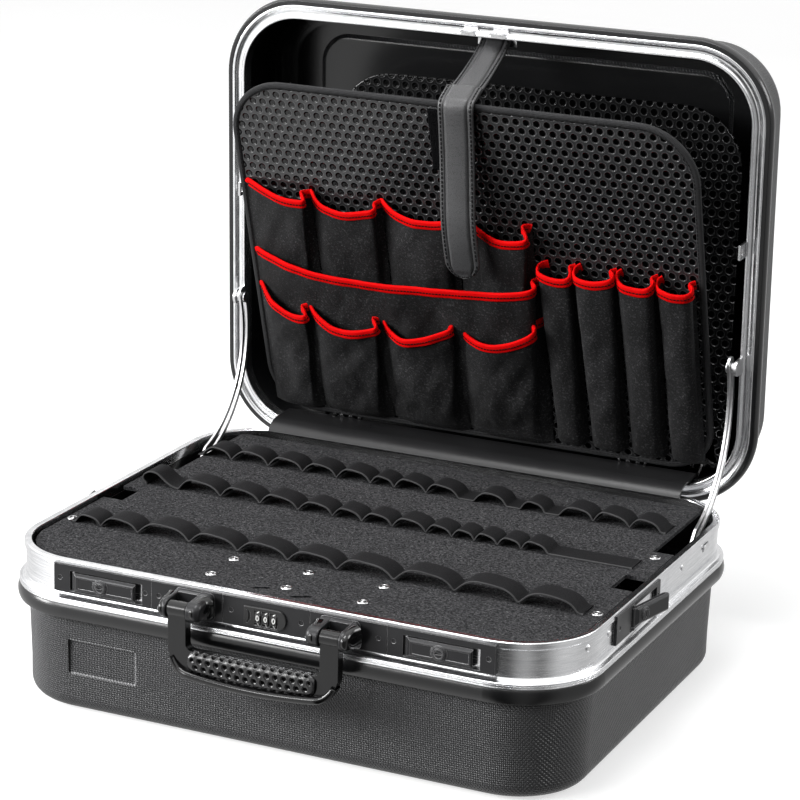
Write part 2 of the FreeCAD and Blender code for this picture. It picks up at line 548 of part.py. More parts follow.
def unit(a, b):
    dx, dy = b[0] - a[0], b[1] - a[1]
    n = math.hypot(dx, dy)
    return dx / n, dy / n


def strip(path, w, x0, x1, ext0=0.0, ext1=0.0):
    """flat bar of half width w along a (y, z) path with round ends"""
    p = list(path)
    t0 = unit(p[1], p[0])
    t1 = unit(p[-2], p[-1])
    if ext0:
        p = [(p[0][0] + t0[0] * ext0, p[0][1] + t0[1] * ext0)] + p
    if ext1:
        p = p + [(p[-1][0] + t1[0] * ext1, p[-1][1] + t1[1] * ext1)]
    lft, rgt = [], []
    for i, c in enumerate(p):
        a = p[max(i - 1, 0)]
        b = p[min(i + 1, len(p) - 1)]
        t = unit(a, b)
        lft.append((c[0] - t[1] * w, c[1] + t[0] * w))
        rgt.append((c[0] + t[1] * w, c[1] - t[0] * w))
    e0 = (p[0][0] + t0[0] * w, p[0][1] + t0[1] * w)
    e1 = (p[-1][0] + t1[0] * w, p[-1][1] + t1[1] * w)

    def v(c):
        return V(x0, c[0], c[1])
    sl_ = Part.BSplineCurve(); sl_.interpolate([v(c) for c in lft])
    sr_ = Part.BSplineCurve(); sr_.interpolate([v(c) for c in reversed(rgt)])
    w_ = Part.Wire([sl_.toShape(), Part.Arc(v(lft[-1]), v(e1), v(rgt[-1])).toShape(), sr_.toShape(),
                    Part.Arc(v(rgt[0]), v(e0), v(lft[0])).toShape()])
    s = Part.Face(w_).extrude(V(x1 - x0, 0, 0))
    if s.Volume < 0:
        s.reverse()
    return s


bar_path = list(mid)
endp = mid[-1]
dirn = unit(endp, STAY_P)
dist = math.hypot(STAY_P[0] - endp[0], STAY_P[1] - endp[1])
stay = strip(mid, 6.0, STAY_X0, STAY_X1, 3.5, 0.0)
tail = strip([endp, (endp[0] + dirn[0] * dist / 2, endp[1] + dirn[1] * dist / 2), STAY_P], 6.0, STAY_X0, STAY_X1)
stay = fuse([stay, tail])
stay = stay.cut(strip(mid, 2.5, STAY_X0 - 1, STAY_X1 + 1))
stay = stay.cut(cyl((STAY_X0 - 1, STAY_P[0], STAY_P[1]), (1, 0, 0), 2.45, 4))
save("stay_right", stay)
save("stay_left", mirror_x(stay))
stud = fuse([box(226.4, 229.3, STAY_P[0] - 9, STAY_P[0] + 9, STAY_P[1] - 6, STAY_P[1] + 8.5),
             cyl((218.0, STAY_P[0], STAY_P[1]), (1, 0, 0), 2.4, 8.9),
             cyl((221.0, STAY_P[0], STAY_P[1]), (1, 0, 0), 4.5, 5.6),
             cyl((216.8, STAY_P[0], STAY_P[1]), (1, 0, 0), 4.5, 1.5)])
stud = stud.cut(base_shell)
stud = Part.makeCompound(sorted(stud.Solids, key=lambda t: -t.Volume)[:1])
save("stay_studs", stud, mirror_x(stud))
pc_y = HINGE_Y + STAY_R * math.cos(STAY_A + PHI)
pc_z = HINGE_Z + STAY_R * math.sin(STAY_A + PHI)
br = prism([(pc_y - 6.5, 126.6), (pc_y + 7.5, 126.6), (pc_y + 6.5, pc_z), ((pc_y, pc_z - 6.5), (pc_y - 6.5, pc_z))],
           "yz", 224.0, 226.2)
br = fuse([br, cyl((218.0, pc_y, pc_z), (1, 0, 0), 2.4, 6.9), cyl((221.0, pc_y, pc_z), (1, 0, 0), 4.2, 3.6),
           cyl((216.8, pc_y, pc_z), (1, 0, 0), 4.5, 1.5)])
br = br.cut(frame)
br = Part.makeCompound(sorted(br.Solids, key=lambda t: -t.Volume)[:1])
save("stay_pins_lid", open_lid(br), mirror_x(open_lid(br)))

# ---------------------------------------------------------------- boards in the lid
sl_, cl_ = math.sin(math.radians(PB_LEAN)), math.cos(math.radians(PB_LEAN))


def on_board(s):
    m = FreeCAD.Matrix(1, 0, 0, 0, 0, -sl_, -cl_, PB_Y, 0, cl_, -sl_, PB_Z, 0, 0, 0, 1)
    return _rigid(s, m)


def _rigid(s, m):
    s = s.copy()
    s.Placement = FreeCAD.Placement(m).multiply(s.Placement)
    return s


def board_plate(x0, x1, h, r, r2, z0, z1):
    k, k2 = r * (1 - q), r2 * (1 - q)
    return prism([(x0 + r2, 0), (x1 - r2, 0), ((x1 - k2, k2), (x1, r2)), (x1, h - r), ((x1 - k, h - k), (x1 - r, h)),
                  (x0 + r, h), ((x0 + k, h - k), (x0, h - r)), (x0, r2), ((x0 + k2, k2), (x0 + r2, 0))], "xy", z0, z1)


pb = board_plate(-PB_HALF, PB_HALF, PB_H, PB_R, PB_R2, -3.0, 0.0)
tubes = [cyl((x0, -0.6, -1.5), (1, 0, 0), 2.6, 22.0) for x0 in (-140.0, 118.0)]
pb = fuse([pb] + tubes)
pb = pb.cut(cyl((-145, -0.6, -1.5), (1, 0, 0), 1.55, 32)).cut(cyl((113, -0.6, -1.5), (1, 0, 0), 1.55, 32))
for x0 in (-144.5, 140.7):
    pb = pb.cut(box(x0, x0 + 3.8, -5, 3.4, -8, 5))
lid_board = on_board(pb)
save("lid_board", lid_board)
outer = board_plate(-PB_HALF - 0.9, PB_HALF + 0.9, PB_H + 0.9, PB_R + 0.9, PB_R2 + 0.9, -3.3, 1.1)
inner = board_plate(-PB_HALF + 6, PB_HALF - 6, PB_H - 12, PB_R - 6, PB_R2 - 6, -10, 10)
inner.translate(V(0, 6, 0))
bind = outer.cut(inner).cut(pb)
for x0 in (-145.0, 116.0):
    bind = bind.cut(box(x0, x0 + 29.0, -6, 3.8, -12, 12))
save("board_binding", on_board(Part.makeCompound(bind.Solids)))

# pocket rows: front wall, bottom and dividers of each row; the mouths flare forward
T = 1.4
outline = board_plate(-PB_HALF + 6.2, PB_HALF - 6.2, PB_H - 12.4, PB_R - 6.2, PB_R2 - 6.2, -1, 40)
outline.translate(V(0, 6.2, 0))


def pocket_row(cells, prof):
    """cells: (u0, u1, v_top); prof: (v, w) of the front face from the bottom up; open at the top"""
    solids = []
    v0 = prof[0][0]
    for u0, u1, vt in cells:
        pr = [p for p in prof if p[0] < vt - 1.0]
        nxt = [p for p in prof if p[0] >= vt - 1.0][0]
        l = pr[-1]
        pr.append((vt, l[1] + (nxt[1] - l[1]) * (vt - l[0]) / (nxt[0] - l[0])))
        for (va, wa), (vb, wb) in zip(pr[:-1], pr[1:]):
            solids.append(prism([(va, wa - T), (va, wa), (vb, wb), (vb, wb - T)], "yz", u0, u1))
            lo = va + (T if va == v0 else 0.0)
            wl = wa + (wb - wa) * (lo - va) / (vb - va)
            for x0, x1 in ((u0, u0 + T), (u1 - T, u1)):
                solids.append(prism([(lo, 0.0), (lo, wl - T), (vb, wb - T), (vb, 0.0)], "yz", x0, x1))
        (va, wa), (vb, wb) = pr[0], pr[1]
        wl = wa + (wb - wa) * T / (vb - va)
        solids.append(prism([(v0, 0.0), (v0, wa - T), (v0 + T, wl - T), (v0 + T, 0.0)], "yz", u0, u1))
    out = []
    for t in solids:
        c = t.common(outline)
        out += [k for k in c.Solids if k.Volume > 0.5]
    return out


up = [(-196.2, -140.8, 214.0), (-138.8, -76.6, 211.0), (-74.6, -16.5, 211.0), (-4.0, 56.6, 206.0)]
md = [(-196.2, -113.0, 151.5), (-112.6, -30.0, 151.5), (-29.6, 57.6, 151.5)]
lw = [(-196.2, -154.6, 104.0), (-152.8, -85.6, 103.0), (-83.8, -13.6, 104.0), (-11.8, 57.6, 104.0)]
nr = [(60.8, 93.0, 176.0), (95.4, 128.6, 172.0), (131.0, 161.0, 169.0), (163.4, 193.8, 166.0)]
UP_P = [(152.4, 12.0), (218.0, 15.5)]
MD_P = [(105.6, 15.5), (160.0, 21.0)]
LW_P = [(8.0, 7.0), (45.0, 12.2), (75.0, 12.3), (108.0, 20.0)]
NR_P = [(8.0, 7.0), (45.0, 12.2), (75.0, 12.3), (110.0, 14.5), (180.0, 15.5)]
save("pockets_upper", *[on_board(t) for t in pocket_row(up, UP_P)])
save("pockets_middle", *[on_board(t) for t in pocket_row(md, MD_P)])
save("pockets_lower", *[on_board(t) for t in pocket_row(lw, LW_P)])
save("pockets_narrow", *[on_board(t) for t in pocket_row(nr, NR_P)])
tr = []
for cells, w in ((up, 15.4), (md, 20.3), (lw, 19.3), (nr, 15.5)):
    for u0, u1, vt in cells:
        tr.append(box(u0, u1, vt - 5.0, vt, w, w + 0.8))
save("pocket_trims", *[on_board(t) for t in tr])
velcro = board_plate(-24.0, -7.5, 56.0, 2.0, 2.0, 0.0, 1.8)
velcro.translate(V(0, 253, 0))
save("velcro_strip", on_board(velcro))
hs = prism([(315.9, 1.3), (315.9, 3.8), (300.0, 5.0), (240.0, 16.4), (222.0, 19.0), (156.0, 25.4), (156.0, 22.8),
            (222.0, 16.6), (240.0, 13.6), (300.0, 2.6), (309.5, 2.1)], "yz", -14.5, 15.5)
save("hanging_strap", on_board(hs))

# short strap from the lid frame to the board
top_v = 315.9
ty, tz = PB_Y - top_v * sl_ - 3.0 * cl_, PB_Z + top_v * cl_ - 3.0 * sl_
fy, fz = 205.0, 477.4
bridge = prism([(fy, fz), (fy, fz - 2.2), ((fy + ty) / 2 * 1.0, (fz + tz) / 2 - 9.2), (ty + 3.5, tz + 0.6),
                (ty - 3.5, tz + 1.4), (ty - 2.6, tz + 3.4), ((fy + ty) / 2, (fz + tz) / 2 - 6.8)], "yz", -12.5, 13.5)
bridge = bridge.cut(lid_board).cut(on_board(outer))
bridge = Part.makeCompound(sorted(bridge.Solids, key=lambda t: -t.Volume)[:1])
save("strap_bridge", bridge)

# second board behind the pockets
BB_Y, BB_Z = 224.0, 138.0
bb = board_plate(-150.0, 208.0, 298.0, 50.0, 6.0, -1.5, 1.5)
bb = bb.cut(prism([(191.0, -1.0), (209.0, -1.0), (209.0, 17.0), (191.0, -1.0)], "xy", -5, 5))
tb = [cyl((x0, -0.6, 0.0), (1, 0, 0), 2.7, 20.0) for x0 in (-150.0, 166.0)]
bb = fuse([bb] + tb)
bb = bb.cut(cyl((-160, -0.6, 0.0), (1, 0, 0), 1.55, 35)).cut(cyl((160, -0.6, 0.0), (1, 0, 0), 1.55, 32))
bb = bb.cut(box(185.9, 189.9, -5, 3.6, -6, 6))
back_board = _rigid(bb, FreeCAD.Matrix(1, 0, 0, 0, 0, 0, -1, BB_Y, 0, 1, 0, BB_Z, 0, 0, 0, 1))
save("back_board", back_board)

# pivots of both boards on the lower run of the lid frame
py_, pz_ = PB_Y + 0.6 * sl_ + 1.5 * cl_, PB_Z - 0.6 * cl_ + 1.5 * sl_
b2y, b2z = BB_Y, BB_Z - 0.6
pv = []
for x0, x1, p0, p1 in ((141.4, 143.8, 124.0, 141.4), (-143.8, -141.4, -141.4, -124.0)):
    lug = prism([(207.0, 132.0), (213.0, 132.5), (py_ + 2.9, pz_), ((py_, pz_ + 2.9), (py_ - 2.9, pz_))], "yz", x0, x1)
    lug = lug.cut(leg).cut(cover)
    lug = fuse([Part.makeCompound(sorted(lug.Solids, key=lambda t: -t.Volume)[:1]).Solids[0],
                cyl((p0, py_, pz_), (1, 0, 0), 1.5, p1 - p0)])
    pv.append(lug)
for x0, x1, p0, p1 in ((187.6, 189.4, 168.0, 187.6), (-154.4, -152.0, -152.0, -134.0)):
    lug = prism([(203.0, 127.0), (213.0, 126.6), (b2y + 3.0, b2z - 1.2), ((b2y + 1.2, b2z + 3.0), (b2y - 2.6, b2z + 1.6)),
                 (209.0, 130.2), (203.0, 129.6)], "yz", x0, x1)
    if x0 < 0:
        # steps round the cover strip
        lug = lug.cut(cover).cut(flange)
    lug = lug.cut(leg)
    lug = fuse([Part.makeCompound(sorted(lug.Solids, key=lambda t: -t.Volume)[:1]).Solids[0],
                cyl((p0, b2y, b2z), (1, 0, 0), 1.5, p1 - p0)])
    pv.append(lug)
save("board_pivots", *pv)

# fixing of the strap on the upper run of the lid frame
fx = box(-16.5, 17.5, 205.0, 206.6, 471.6, 481.6)
fx = fx.cut(leg)
save("strap_fixing", *sorted(fx.Solids, key=lambda t: -t.Volume)[:1])

# ---------------------------------------------------------------- tool board
TA, TB = A - 5.7 - BOARD_GAP, B - 5.7 - BOARD_GAP
tboard = slab(TA, TB, CORNER_R - 5.7 - BOARD_GAP, BOARD_TOP - BOARD_T, BOARD_TOP)
tboard = tboard.cut(box(-300, 300, 168.5, 300, 100, 140))
for s in (-1, 1):
    lo, hi = (209.0, 300.0) if s > 0 else (-300.0, -209.0)
    tboard = tboard.cut(box(lo, hi, 53.0, 200, 100, 140))
    lo, hi = (209.0, 229.0) if s > 0 else (-229.0, -209.0)
    tboard = tboard.cut(box(lo, hi, -38.0, -6.0, 100, 140))
tboard = tboard.cut(box(-27.0, 16.0, -185, -177.6, 100, 140))
save("tool_board", tboard)


def arch(x0, x1, y0, y1, h, t=1.6, z=BOARD_TOP):
    """loop between two stitched valleys, three flats"""
    w = x1 - x0
    g = 1.6
    k = min(0.24 * w, 11.0)
    a_, b_ = x0 + g, x1 - g
    L = [(a_, z), (a_ + k * 0.55, z + h), (a_ + k * 0.55 + t, z + h - t), (a_ + t * 1.3, z)]
    M = [(a_ + k * 0.55, z + h), (b_ - k * 0.55, z + h), (b_ - k * 0.55 - t, z + h - t), (a_ + k * 0.55 + t, z + h - t)]
    Rr = [(b_, z), (b_ - k * 0.55, z + h), (b_ - k * 0.55 - t, z + h - t), (b_ - t * 1.3, z)]
    return [prism(L + [L[0]], "xz", y0, y1), prism(M + [M[0]], "xz", y0, y1), prism(Rr + [Rr[0]], "xz", y0, y1)]


def flat(x0, x1, y0, y1, z=BOARD_TOP):
    return box(x0, x1, y0, y1, z, z + 1.2)


row3 = [-213.6, -190.9, -158.0, -112.7, -70.3, -27.6, 14.0, 61.1, 110.4, 161.7, 208.7]
row2 = [-213.6, -182.4, -143.9, -108.0, -74.1, -43.3, -17.6, 8.5, 37.7, 59.7, 78.8, 98.2, 118.3, 140.4]
row1 = [(-209.0, -181.5), (-181.5, -147.0), (-147.0, -114.9), (-114.9, -83.7), (-83.7, -52.5), (-52.5, -31.2),
        (-31.2, -2.7), (-2.7, 26.3), (39.4, 68.2), (80.4, 101.5), (113.4, 142.9), (142.9, 173.8), (173.8, 199.9)]
Y3, Y2, Y1 = -103.5, 6.0, 95.0
lo3 = []
for a_, b_ in zip(row3[:-1], row3[1:]):
    h_ = 12.0 if b_ - a_ > 25 else 9.0
    lo3 += arch(a_, b_, Y3, Y3 + LOOP_D, h_)
for v_ in row3:
    lo3.append(flat(v_ - 1.5, v_ + 1.5, Y3, Y3 + LOOP_D))
save("loops_front", *lo3)
lo2 = []
for a_, b_ in zip(row2[:-1], row2[1:]):
    h_ = 11.6 if b_ - a_ > 28 else (9.6 if b_ - a_ > 21 else 7.6)
    lo2 += arch(a_, b_, Y2, Y2 + LOOP_D, h_)
for v_ in row2:
    lo2.append(flat(v_ - 1.5, v_ + 1.5, Y2, Y2 + LOOP_D))
lo2.append(flat(142.2, 205.0, Y2, Y2 + LOOP_D))
save("loops_middle", *lo2)
lo1 = []
ends = set()
for a_, b_ in row1:
    h_ = 10.8 if b_ - a_ > 28 else 8.8
    lo1 += arch(a_, b_, Y1, Y1 + LOOP_D, h_)
    ends.update((a_, b_))
for v_ in sorted(ends):
    lo1.append(flat(v_ - 1.5, v_ + 1.5, Y1, Y1 + LOOP_D))
for x0, x1 in ((27.9, 37.8), (69.8, 78.8), (103.1, 111.8)):
    lo1.append(flat(x0, x1, Y1, Y1 + LOOP_D))
save("loops_back", *lo1)
rv = []
for x in (-65.0, -2.0, 60.5):
    for y in (-155.0, -118.3):
        rv.append(dome((x, y, BOARD_TOP), (0, 0, 1), 3.4, 1.4))
for s in (-1, 1):
    rv.append(dome((s * 220.5, -95.0, BOARD_TOP), (0, 0, 1), 3.4, 1.4))
for s in (-1, 1):
    rv.append(dome((s * 215.5, 40.0, BOARD_TOP), (0, 0, 1), 3.4, 1.4))
save("board_rivets", *rv)
print("done")
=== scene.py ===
import math
import random

import bmesh
import bpy
import numpy as np
from mathutils import Matrix, Vector, noise


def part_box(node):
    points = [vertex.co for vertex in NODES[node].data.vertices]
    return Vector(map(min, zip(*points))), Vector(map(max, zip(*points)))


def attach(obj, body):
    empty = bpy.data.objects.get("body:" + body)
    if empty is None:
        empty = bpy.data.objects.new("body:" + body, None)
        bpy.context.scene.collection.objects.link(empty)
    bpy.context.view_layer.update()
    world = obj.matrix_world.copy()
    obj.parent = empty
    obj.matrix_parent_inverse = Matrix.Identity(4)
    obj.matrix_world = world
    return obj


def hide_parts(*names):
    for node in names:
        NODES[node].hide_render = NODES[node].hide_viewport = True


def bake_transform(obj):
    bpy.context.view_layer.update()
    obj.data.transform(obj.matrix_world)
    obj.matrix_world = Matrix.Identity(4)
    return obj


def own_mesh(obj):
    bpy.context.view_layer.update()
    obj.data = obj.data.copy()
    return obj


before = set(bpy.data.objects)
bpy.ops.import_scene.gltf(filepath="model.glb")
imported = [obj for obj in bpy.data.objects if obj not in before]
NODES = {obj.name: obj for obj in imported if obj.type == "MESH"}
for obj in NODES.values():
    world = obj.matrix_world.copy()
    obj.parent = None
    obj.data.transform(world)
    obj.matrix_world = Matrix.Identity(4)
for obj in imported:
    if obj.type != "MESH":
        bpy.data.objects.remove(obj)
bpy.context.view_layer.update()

MM = 0.001
rnd = random.Random(11)
COL = bpy.context.scene.collection


# ------------------------------------------------------------------ camera
def make_camera():
    yaw, pitch, roll = 0.427336, 0.290081, 0.026109
    w = Vector((-math.sin(yaw) * math.cos(pitch), math.cos(yaw) * math.cos(pitch), -math.sin(pitch)))
    r = w.cross(Vector((0, 0, 1))).normalized()
    u = r.cross(w)
    c, s = math.cos(roll), math.sin(roll)
    r2, u2 = c * r + s * u, -s * r + c * u
    data = bpy.data.cameras.new("camera")
    data.lens = 133.02
    data.sensor_width = 36.0
    data.clip_start = 0.05
    data.clip_end = 50.0
    ob = bpy.data.objects.new("camera", data)
    COL.objects.link(ob)
    ob.matrix_world = Matrix(((r2.x, u2.x, -w.x, 0.92081), (r2.y, u2.y, -w.y, -1.98772),
                              (r2.z, u2.z, -w.z, 0.87961), (0, 0, 0, 1)))
    bpy.context.scene.camera = ob


make_camera()


# ------------------------------------------------------------------ shader helper
class Sh:
    """one principled material with its nodes"""

    def __init__(self, name, **sockets):
        self.m = bpy.data.materials.new(name)
        self.m.use_nodes = True
        self.nt = self.m.node_tree
        self.nt.nodes.clear()
        self.out = self.nt.nodes.new("ShaderNodeOutputMaterial")
        self.b = self.nt.nodes.new("ShaderNodeBsdfPrincipled")
        self.nt.links.new(self.b.outputs[0], self.out.inputs[0])
        for k, v in sockets.items():
            k = "Specular IOR Level" if k == "Spec" else k.replace("_", " ")
            self.b.inputs[k].default_value = v
        self._obj = self._geo = None

    def put(self, sock, src):
        if isinstance(src, bpy.types.NodeSocket):
            self.nt.links.new(src, sock)
        elif src is not None:
            sock.default_value = src

    def node(self, kind, ins=(), **props):
        n = self.nt.nodes.new(kind)
        for k, v in props.items():
            setattr(n, k, v)
        for k, v in dict(ins).items():
            self.put(n.inputs[k], v)
        return n

    def obj(self):
        if self._obj is None:
            self._obj = self.node("ShaderNodeTexCoord").outputs["Object"]
        return self._obj

    def uv(self):
        return self.node("ShaderNodeTexCoord").outputs["UV"]

    def normal(self):
        if self._geo is None:
            self._geo = self.node("ShaderNodeTexCoord")
        return self._geo.outputs["Normal"]

    def mt(self, op, a, b=None, c=None, clamp=False):
        n = self.nt.nodes.new("ShaderNodeMath")
        n.operation = op
        n.use_clamp = clamp
        for i, v in enumerate((a, b, c)):
            if v is not None:
                self.put(n.inputs[i], v)
        return n.outputs[0]

    def sep(self, v):
        n = self.node("ShaderNodeSeparateXYZ", {0: v})
        return n.outputs[0], n.outputs[1], n.outputs[2]

    def comb(self, x, y, z=0.0):
        n = self.nt.nodes.new("ShaderNodeCombineXYZ")
        for i, v in enumerate((x, y, z)):
            self.put(n.inputs[i], v)
        return n.outputs[0]

    def scaled(self, v, s):
        n = self.nt.nodes.new("ShaderNodeVectorMath")
        n.operation = "MULTIPLY"
        self.put(n.inputs[0], v)
        n.inputs[1].default_value = s
        return n.outputs[0]

    def noise(self, v, scale, detail=3.0, rough=0.55, dist=0.0):
        n = self.nt.nodes.new("ShaderNodeTexNoise")
        self.put(n.inputs["Vector"], v)
        n.inputs["Scale"].default_value = scale
        n.inputs["Detail"].default_value = detail
        n.inputs["Roughness"].default_value = rough
        n.inputs["Distortion"].default_value = dist
        return n.outputs[0]

    def voronoi(self, v, scale, feature="F1"):
        n = self.nt.nodes.new("ShaderNodeTexVoronoi")
        n.feature = feature
        self.put(n.inputs["Vector"], v)
        n.inputs["Scale"].default_value = scale
        return n.outputs[0]

    def span(self, v, a, b, c=0.0, d=1.0, smooth=False):
        n = self.nt.nodes.new("ShaderNodeMapRange")
        if smooth:
            n.interpolation_type = "SMOOTHSTEP"
        self.put(n.inputs[0], v)
        for i, x in enumerate((a, b, c, d)):
            n.inputs[i + 1].default_value = x
        return n.outputs[0]

    def mixc(self, f, a, b):
        n = self.nt.nodes.new("ShaderNodeMix")
        n.data_type = "RGBA"
        self.put(n.inputs[0], f)
        for i, v in ((6, a), (7, b)):
            if isinstance(v, tuple) and len(v) == 3:
                v = (*v, 1.0)
            self.put(n.inputs[i], v)
        return n.outputs[2]

    def bump(self, h, dist, strength=1.0, normal=None):
        n = self.nt.nodes.new("ShaderNodeBump")
        n.inputs["Strength"].default_value = strength
        n.inputs["Distance"].default_value = dist
        self.put(n.inputs["Height"], h)
        if normal is not None:
            self.put(n.inputs["Normal"], normal)
        return n.outputs[0]

    def rounded(self, radius):
        return self.node("ShaderNodeBevel", {"Radius": radius}, samples=4).outputs[0]

    def edge(self, radius, gain=6.0):
        """1 on sharp edges, 0 on flats"""
        n = self.nt.nodes.new("ShaderNodeVectorMath")
        n.operation = "DOT_PRODUCT"
        self.put(n.inputs[0], self.rounded(radius))
        self.put(n.inputs[1], self.normal())
        return self.mt("MULTIPLY", self.mt("SUBTRACT", 1.0, n.outputs["Value"]), gain, clamp=True)

    def color(self, v):
        self.put(self.b.inputs["Base Color"], v)

    def rough(self, v):
        self.put(self.b.inputs["Roughness"], v)

    def nrm(self, v):
        self.put(self.b.inputs["Normal"], v)


TAU = 2 * math.pi


def planes(s, f):
    """f(a, b) laid on the three box directions and mixed by the surface's own direction"""
    x, y, z = s.sep(s.obj())
    nx, ny, nz = s.sep(s.normal())
    ax, ay, az = (s.mt("POWER", s.mt("ABSOLUTE", v), 4.0) for v in (nx, ny, nz))
    tot = s.mt("ADD", s.mt("ADD", ax, ay), az)
    a = s.mt("MULTIPLY", f(y, z), ax)
    b = s.mt("MULTIPLY", f(x, z), ay)
    c = s.mt("MULTIPLY", f(x, y), az)
    return s.mt("DIVIDE", s.mt("ADD", s.mt("ADD", a, b), c), tot)


def mat_shell(name, centre):
    """moulded case shell: fine crossed grain outside, smooth bead, smooth satin inside"""
    s = Sh(name, Metallic=0.0, IOR=1.5, Spec=0.52)
    p = 2.75 * MM
    k = TAU / p

    def grain(a, b):
        d1 = s.mt("SINE", s.mt("MULTIPLY", s.mt("ADD", a, s.mt("MULTIPLY", b, 0.80)), k))
        d2 = s.mt("SINE", s.mt("MULTIPLY", s.mt("SUBTRACT", a, s.mt("MULTIPLY", b, 0.80)), k))
        return s.mt("ADD", s.mt("MULTIPLY", s.mt("MULTIPLY", d1, d2), 0.55), s.mt("MULTIPLY", d1, 0.45))
    g = planes(s, grain)
    x, y, z = s.sep(s.obj())
    base = s.mt("MULTIPLY", s.mt("GREATER_THAN", z, 0.0755), s.mt("LESS_THAN", z, 0.0915))
    lid = s.mt("MULTIPLY", s.mt("GREATER_THAN", z, 0.1), s.mt("LESS_THAN", y, 0.2085))
    # inside faces look back at the middle of the shell
    sub = s.nt.nodes.new("ShaderNodeVectorMath")
    sub.operation = "SUBTRACT"
    s.put(sub.inputs[0], s.obj())
    sub.inputs[1].default_value = centre
    dot = s.nt.nodes.new("ShaderNodeVectorMath")
    dot.operation = "DOT_PRODUCT"
    s.put(dot.inputs[0], sub.outputs[0])
    s.put(dot.inputs[1], s.normal())
    outer = s.mt("GREATER_THAN", dot.outputs["Value"], 0.0)
    sm = s.mt("MULTIPLY", s.mt("SUBTRACT", 1.0, s.mt("MAXIMUM", base, lid)), outer)
    n1 = s.noise(s.obj(), 9.0, 3.0)
    n2 = s.noise(s.obj(), 900.0, 2.0)
    dark = s.mixc(n1, (0.0045, 0.0046, 0.005), (0.0075, 0.0077, 0.0082))
    gg = s.span(g, -0.55, 0.8)
    tone = s.mixc(s.mt("MULTIPLY", gg, sm), dark, (0.058, 0.059, 0.063))
    # painted highlight: the tone is lightened along the edges
    e = s.edge(1.2 * MM, 2.0)
    tone = s.mixc(s.mt("MULTIPLY", e, 0.7), tone, (0.09, 0.09, 0.095))
    # rounded outline of the label field: dark on the left, catching light below and on the right
    qx = s.mt("SUBTRACT", s.mt("ABSOLUTE", s.mt("ADD", x, 0.143)), 0.0265)
    qz = s.mt("SUBTRACT", s.mt("ABSOLUTE", s.mt("SUBTRACT", z, 0.0445)), 0.0110)
    px, pz = s.mt("MAXIMUM", qx, 0.0), s.mt("MAXIMUM", qz, 0.0)
    sd = s.mt("ADD", s.mt("SQRT", s.mt("ADD", s.mt("MULTIPLY", px, px), s.mt("MULTIPLY", pz, pz))), s.mt("MINIMUM", s.mt("MAXIMUM", qx, qz), 0.0))
    line = s.span(s.mt("ABSOLUTE", s.mt("SUBTRACT", sd, 0.0025)), 0.0006, 0.0014, 1.0, 0.0, True)
    line = s.mt("MULTIPLY", line, s.mt("LESS_THAN", y, -0.178))
    left = s.span(s.mt("ADD", x, 0.143), -0.0285, -0.0265, 1.0, 0.0, True)
    lit = s.mixc(gg, (0.06, 0.06, 0.062), (0.42, 0.42, 0.43))
    s.color(s.mixc(line, tone, s.mixc(left, lit, (0.001, 0.001, 0.001))))
    s.rough(s.mt("ADD", s.span(s.mt("ADD", s.mt("MULTIPLY", n2, 0.5), s.mt("MULTIPLY", n1, 0.5)), 0.3, 0.7, 0.17, 0.26),
                 s.mt("MULTIPLY", sm, 0.16)))
    b1 = s.bump(s.mt("MULTIPLY", g, sm), 0.50 * MM, 1.0, s.rounded(1.4 * MM))
    s.nrm(s.bump(n2, 0.02 * MM, 0.6, b1))
    return s.m


def mat_band(name, across, tone=0.80):
    """brushed aluminium, lines running along the band; across is the object axis over its width"""
    s = Sh(name, Metallic=1.0, IOR=1.5)
    sc = [14.0, 14.0, 14.0]
    sc[across] = 2600.0
    sc2 = [60.0, 60.0, 60.0]
    sc2[across] = 900.0
    l1 = s.noise(s.scaled(s.obj(), tuple(sc)), 1.0, 4.0, 0.7)
    l2 = s.noise(s.scaled(s.obj(), tuple(sc2)), 1.0, 3.0, 0.6)
    big = s.noise(s.obj(), 5.0, 2.0)
    line = s.mt("ADD", s.mt("MULTIPLY", l1, 0.6), s.mt("MULTIPLY", l2, 0.4))
    c = s.mixc(s.span(line, 0.32, 0.68), (tone * 0.72, tone * 0.73, tone * 0.75), (tone * 1.1, tone * 1.1, tone * 1.11))
    smudge = s.span(s.noise(s.obj(), 38.0, 4.0, 0.6), 0.56, 0.74, 0.0, 0.25, True)
    s.color(s.mixc(smudge, c, (tone * 0.66, tone * 0.66, tone * 0.68)))
    s.rough(s.mt("ADD", s.span(line, 0.3, 0.7, 0.17, 0.28), s.span(big, 0.3, 0.7, -0.03, 0.04)))
    s.nrm(s.bump(line, 0.022 * MM, 0.8, s.rounded(0.5 * MM)))
    return s.m


def mat_lock():
    """satin black painted metal, with a painted highlight: the edges are painted pale"""
    s = Sh("lock_black", Metallic=0.3, IOR=1.5, Spec=0.34)
    n1 = s.noise(s.obj(), 60.0, 4.0)
    n2 = s.noise(s.obj(), 1500.0, 2.0)
    e = s.edge(0.55 * MM, 3.0)
    base = s.mixc(n1, (0.018, 0.018, 0.019), (0.030, 0.030, 0.032))
    # painted highlight: the colour turns pale along the sharp edges
    s.color(s.mixc(s.mt("MULTIPLY", e, 0.9), base, (0.55, 0.55, 0.56)))
    s.rough(s.mt("ADD", s.span(n1, 0.3, 0.7, 0.26, 0.36), s.mt("MULTIPLY", n2, 0.05)))
    s.nrm(s.bump(n2, 0.02 * MM, 0.5, s.rounded(0.45 * MM)))
    return s.m


